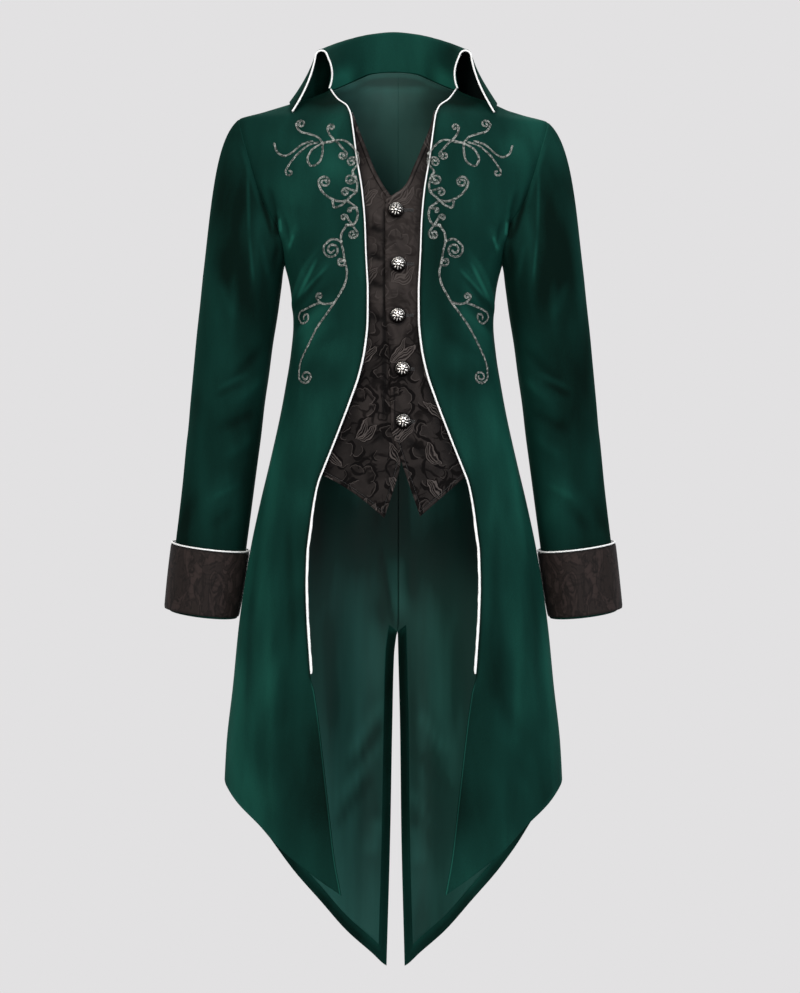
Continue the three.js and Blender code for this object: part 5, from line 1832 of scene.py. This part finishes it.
def button_mesh(x, z, name):
    """A domed button with a plain rosette in relief and a beaded rim."""
    sides = BUTTON_SIDES
    r = np.array([*np.linspace(0.02, 0.985, BUTTON_RINGS), 1])[:, None]
    a = (2 * np.pi * np.arange(sides) / sides)[None, :]
    relief = sum(row["lift"] * np.cos(row["petals"] * a + row["turn"]) * bell(r, row["r"], row["spread"])
                 for row in BUTTON_RELIEF)
    height = button_rise(r) + relief - 0.42
    point, normal = cloth_point(x, z, -1)
    seat = point - normal * (VEST_LEFT_DEPTH - SEAM)
    right = unit(np.cross(normal, np.array([0, 0, 1])))
    up = np.cross(right, normal)
    round_it = np.cos(a)[..., None] * right + np.sin(a)[..., None] * up
    shell = [seat + BUTTON_RADIUS * r[..., None] * round_it + height[..., None] * normal]
    for share, rise in ((0.97, 1.2), (0.72, 0.0), (0.02, 0.0)):
        shell.append(seat + BUTTON_RADIUS * share * round_it + rise * normal)
    grid = np.concatenate(shell)
    # Patina in the relief's hollows, with painted shade on the lower side and round the rim; the sides and
    # underside below are painted dark.
    patina_and_shade = 0.2 - 1.1 * relief + 0.34 * r * (0.3 - np.sin(a)) + 0.3 * ramp((r - 0.84) / 0.1)
    recess = [*patina_and_shade.ravel(), *np.full(3 * sides, 0.7), -0.3, 0.5]
    points = np.concatenate([grid.reshape(-1, 3), [grid[0].mean(0)], [grid[-1].mean(0)]]) * MM
    after = [*range(1, sides), 0]
    end = len(grid) * sides
    low = end - sides
    faces = [(i + k, i + after[k], i + sides + after[k], i + sides + k)
             for i in range(0, low, sides) for k in range(sides)]
    for k in range(sides):
        faces += [(end, after[k], k), (end + 1, low + k, low + after[k])]
    first = points[list(faces[0])]
    if np.dot(np.cross(first[1] - first[0], first[3] - first[0]), normal) < 0:
        faces = [face[::-1] for face in faces]
    mesh = bpy.data.meshes.new(name)
    mesh.from_pydata(points.tolist(), [], faces)
    mesh.attributes.new("recess", "FLOAT", "POINT").data.foreach_set("value", recess)
    return finish_mesh(name, mesh, [SILVER_FINISH])


buttons = [button_mesh(row["x"], row["z"], f"silver_button_{i + 1}") for i, row in enumerate(BUTTONS)]


# Cords and stitches, laid along lines by trees of nodes

CORD_SIDES = 12
STRANDS = 3
STRAND_RELIEF = 0.13
CORD_STEP = 0.6
STITCH_SEED = 7


def path_object(name, paths, swell=None):
    """Edges along lines of points in millimetres, each point with the way out of the cloth."""
    points, edges, outs = [], [], []
    for line, normals, ring in paths:
        start = len(points)
        points += [list(p * MM) for p in line]
        outs += [list(n) for n in normals]
        edges += [(start + i, start + i + 1) for i in range(len(line) - 1)]
        if ring:
            edges.append((start + len(line) - 1, start))
    mesh = bpy.data.meshes.new(name)
    mesh.from_pydata(points, edges, [])
    attribute = mesh.attributes.new("cloth_normal", "FLOAT_VECTOR", "POINT")
    attribute.data.foreach_set("vector", np.array(outs).ravel())
    if swell is not None:
        mesh.attributes.new("swell", "FLOAT", "POINT").data.foreach_set("value", swell)
    obj = bpy.data.objects.new(name, mesh)
    bpy.context.scene.collection.objects.link(obj)
    return obj


def even_points(nodes, given, spacing):
    curve = nodes.add("GeometryNodeMeshToCurve", {"Mesh": given.outputs["Geometry"]})
    return nodes.add("GeometryNodeResampleCurve", {
        "Curve": curve.outputs[0], "Length": given.outputs[spacing],
    }, mode="LENGTH").outputs[0]


def stored(nodes, name, kind):
    return nodes.add("GeometryNodeInputNamedAttribute", {"Name": name}, data_type=kind).outputs[0]


def end_tree(nodes, given, out, geometry):
    """Makes the copies real, smooth and of the given material."""
    real = nodes.add("GeometryNodeRealizeInstances", {0: geometry})
    soft = nodes.add("GeometryNodeSetShadeSmooth", {0: real.outputs[0]})
    dress = nodes.add("GeometryNodeSetMaterial", {
        "Geometry": soft.outputs[0], "Material": given.outputs["Finish"],
    })
    nodes.put(out.inputs[0], dress.outputs[0])


def cord_tree():
    """A three-stranded cord swept along the given edges."""
    tree, nodes, given, out = node_group("twisted_cord", "GeometryNodeTree", {
        "Geometry": "Geometry", "Radius": "Float", "Turn Length": "Float", "Step": "Float",
        "Finish": "Material",
    }, {"Geometry": "Geometry"})
    run = nodes.add("GeometryNodeSplineParameter").outputs["Length"]
    turns = nodes.math("DIVIDE", run, given.outputs["Turn Length"])
    tilt = nodes.add("GeometryNodeSetCurveTilt", {
        "Curve": even_points(nodes, given, "Step"), "Tilt": nodes.math("MULTIPLY", turns, 2 * math.pi),
    })
    ring = nodes.add("GeometryNodeCurvePrimitiveCircle", {
        "Resolution": CORD_SIDES, "Radius": given.outputs["Radius"],
    }, mode="RADIUS")
    index = nodes.add("GeometryNodeInputIndex").outputs[0]
    lobe = nodes.math("COSINE", nodes.math("MULTIPLY", index, STRANDS * 2 * math.pi / CORD_SIDES))
    sized = nodes.add("ShaderNodeVectorMath", {
        0: nodes.add("GeometryNodeInputPosition").outputs[0],
        "Scale": nodes.math("MULTIPLY_ADD", lobe, STRAND_RELIEF, 1 - STRAND_RELIEF),
    }, operation="SCALE")
    move = nodes.add("GeometryNodeSetPosition", {"Geometry": ring.outputs[0], "Position": sized.outputs[0]})
    # Painted shade: the grooves between the strands are stored darker for the finish.
    mark = nodes.add("GeometryNodeStoreNamedAttribute", {
        "Geometry": move.outputs[0], "Name": "recess", "Value": nodes.math("MULTIPLY_ADD", lobe, -0.5, 0.5),
    }, data_type="FLOAT", domain="POINT")
    sweep = nodes.add("GeometryNodeCurveToMesh", {
        "Curve": tilt.outputs[0], "Profile Curve": mark.outputs[0],
        "Scale": stored(nodes, "swell", "FLOAT"), "Fill Caps": True,
    })
    end_tree(nodes, given, out, sweep.outputs[0])
    return tree


def stitch_tree():
    """One small shape set again and again along the given edges, flat on the cloth."""
    tree, nodes, given, out = node_group("stitches_along", "GeometryNodeTree", {
        "Geometry": "Geometry", "Stitch": "Object", "Spacing": "Float", "Unevenness": "Float",
        "Finish": "Material",
    }, {"Geometry": "Geometry"})
    shape = nodes.add("GeometryNodeObjectInfo", {"Object": given.outputs["Stitch"]})
    stand = nodes.add("FunctionNodeAlignRotationToVector", {
        "Vector": stored(nodes, "cloth_normal", "FLOAT_VECTOR"),
    }, axis="Z")
    follow = nodes.add("FunctionNodeAlignRotationToVector", {
        "Rotation": stand.outputs[0], "Vector": nodes.add("GeometryNodeInputTangent").outputs[0],
    }, axis="X", pivot_axis="Z")
    chance = nodes.add("FunctionNodeRandomValue", {
        2: nodes.math("SUBTRACT", 1, given.outputs["Unevenness"]),
        3: nodes.math("ADD", 1, given.outputs["Unevenness"]),
        "Seed": STITCH_SEED,
    }, data_type="FLOAT")
    places = nodes.add("GeometryNodeInstanceOnPoints", {
        "Points": even_points(nodes, given, "Spacing"), "Instance": shape.outputs["Geometry"],
        "Rotation": follow.outputs[0], "Scale": chance.outputs[1],
    })
    end_tree(nodes, given, out, places.outputs[0])
    return tree


def grow(obj, tree, values):
    """Runs a tree on an object and keeps what it made as the object's own mesh."""
    modifier = obj.modifiers.new("grow", "NODES")
    modifier.node_group = tree
    for item in tree.interface.items_tree:
        if item.item_type == "SOCKET" and item.in_out == "INPUT" and item.name in values:
            modifier[item.identifier] = values[item.name]
    bpy.context.view_layer.update()
    depsgraph = bpy.context.evaluated_depsgraph_get()
    mesh = bpy.data.meshes.new_from_object(obj.evaluated_get(depsgraph), depsgraph=depsgraph)
    obj.modifiers.clear()
    obj.data = mesh
    return obj


def small_tube(name, line, radius, sides, ring):
    """A thread along a short line, in millimetres, closed at its ends or into a ring."""
    line = np.array(line, float)
    count = len(line)
    if ring:
        along = np.roll(line, -1, 0) - np.roll(line, 1, 0)
    else:
        along = np.gradient(line, axis=0)
    along = unit(along)
    side = unit(np.cross(along, np.array([0, 0, 1])))
    up = np.cross(side, along)
    turn = 2 * np.pi * np.arange(sides) / sides
    round_it = np.cos(turn)[:, None] * side[:, None] + np.sin(turn)[:, None] * up[:, None]
    loop = line[:, None] + radius * round_it
    faces = []
    for i in range(count if ring else count - 1):
        for k in range(sides):
            a, b = i * sides + k, i * sides + (k + 1) % sides
            j = (i + 1) % count
            faces.append((a, j * sides + k, j * sides + (k + 1) % sides, b))
    if not ring:
        faces.append(tuple(range(sides)))
        faces.append(tuple((count - 1) * sides + k for k in range(sides))[::-1])
    mesh = bpy.data.meshes.new(name)
    mesh.from_pydata((loop.reshape(-1, 3) * MM).tolist(), [], faces)
    # Painted shade: the thread is stored darker on its underside, against the cloth, and lighter on top.
    mesh.attributes.new("recess", "FLOAT", "POINT").data.foreach_set(
        "value", np.tile(0.5 - 0.5 * np.sin(turn), count))
    return finish_mesh(name, mesh, [])


def link_line():
    """One open link of a chain stitch, wider at one end."""
    angle = 2 * np.pi * np.arange(10) / 10
    wide = 1 + 0.4 * np.cos(angle)
    return np.stack([1.8 * np.cos(angle), np.sin(angle) * wide, 0.3 + 0.3 * np.cos(angle)], 1)


RUN_LINE = [(-1.1, 0, -0.1), (-0.7, 0, 0.22), (0, 0, 0.3), (0.7, 0, 0.22), (1.1, 0, -0.1)]
BAR_LINE = [
    (0, -1.9, -0.1), (0, -1.3, 0.45), (0, -0.6, 0.4), (0, 0, 0.05),
    (0, 0.6, 0.4), (0, 1.3, 0.45), (0, 1.9, -0.1),
]
LINK = small_tube("chain_link", link_line(), 0.34, 5, True)
RUNNING = small_tube("running_stitch", RUN_LINE, 0.24, 5, False)
BAR = small_tube("buttonhole_bar", BAR_LINE, 0.33, 5, False)
LINK_SPACING, RUN_SPACING, BAR_SPACING = 2.9, 3.1, 0.72
CORD_TREE = cord_tree()
STITCH_TREE = stitch_tree()
TWIST = 5.4


def whole_turns(line, ring):
    loop = np.concatenate([line, line[:1]]) if ring else line
    length = run_of(loop)[-1]
    return float(length / max(1, round(length / TWIST)) * MM)


def cord(name, line, normals, radius, swell=None, ring=False):
    swell = np.ones(len(line)) if swell is None else swell
    obj = path_object(name, [(line, normals, ring)], swell)
    return grow(obj, CORD_TREE, {
        "Radius": radius * MM, "Turn Length": whole_turns(line, ring), "Step": CORD_STEP * MM,
        "Finish": CORD_FINISH,
    })


def stitches(name, paths, stitch, spacing, finish, uneven=0.05):
    obj = path_object(name, paths)
    return grow(obj, STITCH_TREE, {
        "Stitch": stitch, "Spacing": spacing * MM, "Unevenness": uneven, "Finish": finish,
    })


# How thick the front cord is at each depth below the neck.
FRONT_SWELL = {
    "z": [52, 236, 262, 340, 420, 440, 535, 575, 780],
    "swell": [0.8, 0.8, 1.02, 1.12, 1.08, 1.0, 1.04, 1.34, 1.34],
}


def front_cord(hand):
    point, normal = panels["front", hand][1:]
    edge, out, beside = point[:, 0], normal[:, 0], point[:, 4]
    kept = edge[:, 2] >= CORD_END
    kept[-2:] = False
    along = unit(np.gradient(edge, axis=0))
    away = unit(np.cross(out, along))
    flip = (away * (beside - edge)).sum(-1) > 0
    away[flip] *= -1
    z = edge[:, 2]
    swell = np.interp(-z, FRONT_SWELL["z"], FRONT_SWELL["swell"])
    swell = swell * (1 + 0.1 * np.sin(z / 11) * np.sin(z / 4.3 + 1) * ramp((-500 - z) / 60))
    swell *= 0.6 + 0.4 * ramp((z - CORD_END) / 9)
    line = edge - out * VELVET / 2 + away * (PIPING * swell + TOUCH)[:, None]
    return line[kept], out[kept], PIPING, swell[kept]


def collar_cord(hand):
    end, before = COLLAR_MIDDLE[-1], COLLAR_MIDDLE[-7]
    along = unit(np.gradient(end, axis=0))
    forward = end - before
    forward = unit(forward - along * (forward * along).sum(-1, keepdims=True))
    line = end + forward * (PIPING + TOUCH)
    out = unit(np.cross(along, forward))
    return mirror(line, hand), mirror(out, hand), PIPING


def cuff_cord(hand):
    top = CUFF[0]
    rise = CUFF_CORD_RISE
    ring = arm_ring({"x": top["x"] - SLEEVE_LEAN * rise, "y": top["y"], "z": top["z"] + rise,
                     "wide": top["wide"] - 1.1, "deep": top["deep"] - 1.1})
    ring[:, 2] -= CUFF_TILT * np.sin(2 * np.pi * np.arange(RING) / RING)
    centre = ring.mean(0)
    return mirror(ring, hand), mirror(unit(ring - centre), hand), CUFF_PIPING


cords = {}
for hand, word in HANDS:
    cords["front", hand] = cord(f"cord_front_{word}", *front_cord(hand))
    cords["collar", hand] = cord(f"cord_collar_{word}", *collar_cord(hand))
    cords["cuff", hand] = cord(f"cord_cuff_{word}", *cuff_cord(hand), ring=True)


# Scroll embroidery of the fronts: lines through places counted out from the middle and up.
# curl is the middle of the coil in which a line ends, with the way round and the turns.
SCROLL_LINES = [
    {"line": [(94, -67), (100, -59), (112, -54), (125, -49), (130, -41)], "curl": (123.5, -39.5, 1, 1.1)},
    {"line": [(94, -67), (79, -64), (85, -55), (87.5, -48)], "curl": (82.5, -45.5, 1, 1.0)},
    {"line": [(94, -67), (79, -64), (65, -64), (55, -72), (47, -82)]},
    {"line": [(79, -64), (75, -66), (69, -73), (62, -81)], "curl": (67.5, -84.5, 1, 1.1)},
    {"line": [(94, -67), (94, -80), (99, -94), (109, -98), (114, -90), (109, -77), (94, -67)]},
    {"line": [(109, -64), (123, -69), (134, -78), (146, -83), (155, -77), (159, -66)]},
    {"line": [(101, -66), (112, -69), (124, -78), (136, -91), (143, -102)], "curl": (138, -105.5, -1, 0.8)},
    {"line": [(48, -81), (46, -95), (54, -108), (48, -120), (49, -134), (60, -146), (49, -156),
              (47, -168), (54, -179), (61, -179)]},
    {"line": [(46, -95), (50, -89)], "curl": (55, -94, -1, 1.2)},
    {"line": [(54, -108), (49.5, -114)], "curl": (57, -117, 1, 1.3)},
    {"line": [(49, -134), (58, -131)], "curl": (63, -135, -1, 1.1)},
    {"line": [(49, -156), (54, -157)], "curl": (57, -159.5, -1, 1.0)},
    {"line": [(54, -179), (60, -170)], "curl": (65, -169, -1, 1.0)},
    {"line": [(54, -179), (47, -189)], "curl": (53.5, -191, 1, 1.2)},
    {"line": [(61, -146), (71, -147), (84, -142), (95, -132), (99.5, -122)], "curl": (91, -120.5, 1, 1.5)},
    {"line": [(61, -146), (70, -153), (78, -155), (80, -148)]},
    {"line": [(61, -179), (68, -190), (69, -200), (66, -213), (64, -226), (61, -241), (64, -257),
              (71, -270), (77, -280), (87, -294), (100, -311), (111, -330), (120, -347), (125, -363),
              (126, -376)], "curl": (116, -378, -1, 1.5)},
    {"line": [(69, -200), (80, -197), (90.5, -204)], "curl": (81, -211, -1, 1.5)},
    {"line": [(64, -226), (71, -223)], "curl": (67, -228, -1, 1.0)},
    {"line": [(77, -280), (87, -282), (97, -280), (103, -275)], "curl": (99, -271.5, 1, 1.0)},
    {"line": [(97, -280), (111, -284), (124.5, -290)], "curl": (118, -298.5, -1, 1.2)},
]


def curved(points):
    """A soft line through flat places, every millimetre."""
    p = np.array(points, float)
    run = run_of(p)
    slope = np.zeros_like(p)
    step = np.diff(run)[:, None]
    rise = np.diff(p, axis=0) / step
    slope[0], slope[-1] = rise[0], rise[-1]
    slope[1:-1] = (rise[:-1] * step[1:] + rise[1:] * step[:-1]) / (step[:-1] + step[1:])
    at = np.linspace(0, run[-1], max(4, int(run[-1])))
    i = np.clip(np.searchsorted(run, at, side="right") - 1, 0, len(p) - 2)
    width = (run[i + 1] - run[i])[:, None]
    t = ((at - run[i]) / width[:, 0])[:, None]
    start = (1 + 2 * t) * (1 - t) ** 2 * p[i] + t * (1 - t) ** 2 * width * slope[i]
    end = t ** 2 * (3 - 2 * t) * p[i + 1] + t ** 2 * (t - 1) * width * slope[i + 1]
    return start + end


def coiled(start, centre, way, turns):
    """A coil from a place round and into a middle."""
    first = np.array(start) - np.array(centre)
    radius = np.hypot(*first)
    angle = math.atan2(first[1], first[0])
    count = max(8, int(2 * np.pi * turns * radius * 0.7))
    t = np.linspace(0, 1, count)[1:]
    r = radius * (1 - 0.74 * t ** 0.85)
    a = angle + way * 2 * np.pi * turns * t
    return np.stack([centre[0] + r * np.cos(a), centre[1] + r * np.sin(a)], 1)


def scroll_paths(hand):
    paths = []
    for row in SCROLL_LINES:
        flat = curved(row["line"])
        if "curl" in row:
            x, z, way, turns = row["curl"]
            flat = np.concatenate([flat, coiled(flat[-1], (x, z), way, turns)])
        point, normal = cloth_point(hand * flat[:, 0], flat[:, 1], -1)
        paths.append((point + normal * 0.15, normal, False))
    return paths


embroidery = {}
for hand, word in HANDS:
    embroidery[hand] = stitches(f"embroidery_{word}", scroll_paths(hand), LINK, LINK_SPACING,
                                SILVER_THREAD, uneven=0.1)


# Stitching of the waistcoat: beside its hems and along each buttonhole.

STITCHED_IN = 5
HOLE_START = 6
HOLE_END = 26.5


def on_vest(flat, depth):
    point, normal = cloth_point(flat[:, 0], flat[:, 1], -1)
    return point - normal * (depth - 0.05), normal


def beside(line, gap):
    """A flat line moved sideways, to its left for a gap above zero."""
    along = unit(np.gradient(line, axis=0))
    return line + np.stack([-along[:, 1], along[:, 0]], 1) * gap


def hem_paths(hand):
    x, z = vests[hand][3:]
    rows, depth = (VEST_LEFT, VEST_LEFT_DEPTH) if hand > 0 else (VEST_RIGHT, VEST_RIGHT_DEPTH)
    low = z[:, 0] < rows[HEM_CORNER]["z"] - 6
    slant = np.stack([x[low, 0], z[low, 0]], 1)[:-3]
    hem = np.stack([x[-1], z[-1]], 1)[6:]
    return [(*on_vest(beside(line, STITCHED_IN * hand), depth), False) for line in (slant, hem)]


def hole_path(x, z):
    across = np.linspace(x + HOLE_START, HOLE_END + x * 0.15, 24)
    return (*on_vest(np.stack([across, np.full(24, z)], 1), VEST_LEFT_DEPTH), False)


vest_stitching = stitches("vest_stitching", hem_paths(1) + hem_paths(-1), RUNNING, RUN_SPACING, DARK_THREAD)
hole_paths = [hole_path(row["x"], row["z"]) for row in BUTTONS]
buttonholes = stitches("buttonholes", hole_paths, BAR, BAR_SPACING, DARK_THREAD)
for helper in (LINK, RUNNING, BAR):
    bpy.data.objects.remove(helper)


# The wearer's left shoulder hangs a little lower than the right one.

DROP_FROM_X, DROP_OVER_X = 125, 35
DROP_FROM_Z, DROP_OVER_Z = -150, 120


def settle(mesh):
    places = np.empty(len(mesh.vertices) * 3)
    mesh.vertices.foreach_get("co", places)
    places = places.reshape(-1, 3)
    x, z = places[:, 0] / MM, places[:, 2] / MM
    share = ramp((x - DROP_FROM_X) / DROP_OVER_X) * ramp((z - DROP_FROM_Z) / DROP_OVER_Z)
    places[:, 2] -= SHOULDER_DROP * MM * share
    mesh.vertices.foreach_set("co", places.ravel())
    mesh.update()


made = [item[0] for item in (*panels.values(), *vests.values())]
made += [*cords.values(), *embroidery.values(), *buttons, collar_obj, vest_stitching, buttonholes]
for piece in made:
    settle(piece.data)


# Each piece joined to the body, with the parts it replaces hidden

for hand, word in HANDS:
    declare(*panels["front", hand][:2], "velvet", f"front_{word}",
            [f"brocade_vest_{word}", f"velvet_back_{word}"], extra=[cords["front", hand], embroidery[hand]])
    declare(*panels["back", hand][:2], "velvet", f"back_{word}", [f"satin_lining_{word}"])
    obj, point = panels["lining", hand][:2]
    declare(obj, point[len(HEM_ROWS):], "lining", f"back_lining_{word}", [f"velvet_back_{word}"])
    declare(*panels["sleeve", hand][:2], "velvet", f"sleeve_{word}", [f"velvet_front_{word}"], wrap=True)
    declare(*panels["cuff", hand][:2], "brocade", f"cuff_{word}", [f"velvet_sleeve_{word}"], wrap=True)
    declare(*vests[hand][:2], "brocade", f"vest_{word}", [f"velvet_front_{word}"])
    for part in ("front", "collar", "cuff"):
        obj = cords[part, hand]
        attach(obj, BODY)
        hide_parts(f"{part}_piping_{word}")
    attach(embroidery[hand], BODY)
declare(collar_obj, COLLAR_MIDDLE, "velvet", "collar", ["velvet_front_left", "velvet_back_left"])
for i, obj in enumerate(buttons):
    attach(obj, BODY)
    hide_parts(f"button_{i + 1}")
for obj in (vest_stitching, buttonholes):
    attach(obj, BODY)


# The pale room, its lights and the camera

def disc(name, radius, height, finish):
    turn = 2 * np.pi * np.arange(64) / 64
    ring = np.stack([radius * np.cos(turn), radius * np.sin(turn), 0 * turn + height], 1)
    mesh = bpy.data.meshes.new(name)
    mesh.from_pydata(ring.tolist(), [], [tuple(range(64))])
    return finish_mesh(name, mesh, [finish])


def paper_material():
    material, nodes, shader = surface("pale_paper", {"Roughness": 0.8})
    cloudy = nodes.noise(nodes.place(), 6)
    nodes.put(shader.inputs["Base Color"], nodes.ramp(cloudy, [(0.3, "#dcdcdc"), (0.7, "#e4e3e4")]))
    return material


FLOOR_RADIUS = 1.1
FLOOR_HEIGHT = -1.45
disc("floor", FLOOR_RADIUS, FLOOR_HEIGHT, paper_material())

world = bpy.data.worlds.new("studio")
bpy.context.scene.world = world
world.use_nodes = True
nodes = Nodes(world.node_tree)
seen = nodes.fill(world.node_tree.nodes["Background"], {"Color": colour("#e2e1e2")})
ambient = nodes.add("ShaderNodeBackground", {"Color": colour("#e6e8ec"), "Strength": 0.6})
choose = nodes.add("ShaderNodeMixShader", {
    0: nodes.add("ShaderNodeLightPath").outputs["Is Camera Ray"],
    1: ambient.outputs[0],
    2: seen.outputs[0],
})
nodes.put(world.node_tree.nodes["World Output"].inputs[0], choose.outputs[0])

CENTRE = Vector((0, 0, -0.5))
LIGHTS = table("name x y z size power tint", [
    ("key", -1.6, -3.4, 1.2, 1.6, 100, "#fffaf4"),
    ("fill", 2.2, -3.0, 0.5, 1.8, 74, "#f6f9ff"),
    ("top", 0.2, 1.0, 2.2, 1.6, 50, "#ffffff"),
    ("low", 0.0, -3.4, -1.3, 1.8, 20, "#ffffff"),
    ("back", 0.0, 3.4, 0.2, 2.4, 50, "#ffffff"),
])
for row in LIGHTS:
    light = bpy.data.lights.new(row["name"], "AREA")
    light.size = row["size"]
    light.energy = row["power"]
    light.color = colour(row["tint"])[:3]
    lamp = bpy.data.objects.new(row["name"], light)
    lamp.location = (row["x"], row["y"], row["z"])
    lamp.rotation_euler = (CENTRE - lamp.location).to_track_quat("-Z", "Y").to_euler()
    bpy.context.scene.collection.objects.link(lamp)

camera = bpy.data.cameras.new("camera")
camera.lens = 106.63
camera.sensor_width = 36
camera.clip_end = 50
eye = bpy.data.objects.new("camera", camera)
eye.location = (0.009, -4.0, -0.538)
eye.rotation_euler = (math.pi / 2, 0, 0)
bpy.context.scene.collection.objects.link(eye)
bpy.context.scene.camera = eye
bpy.context.scene.view_settings.view_transform = "Standard"

bpy.context.view_layer.update()
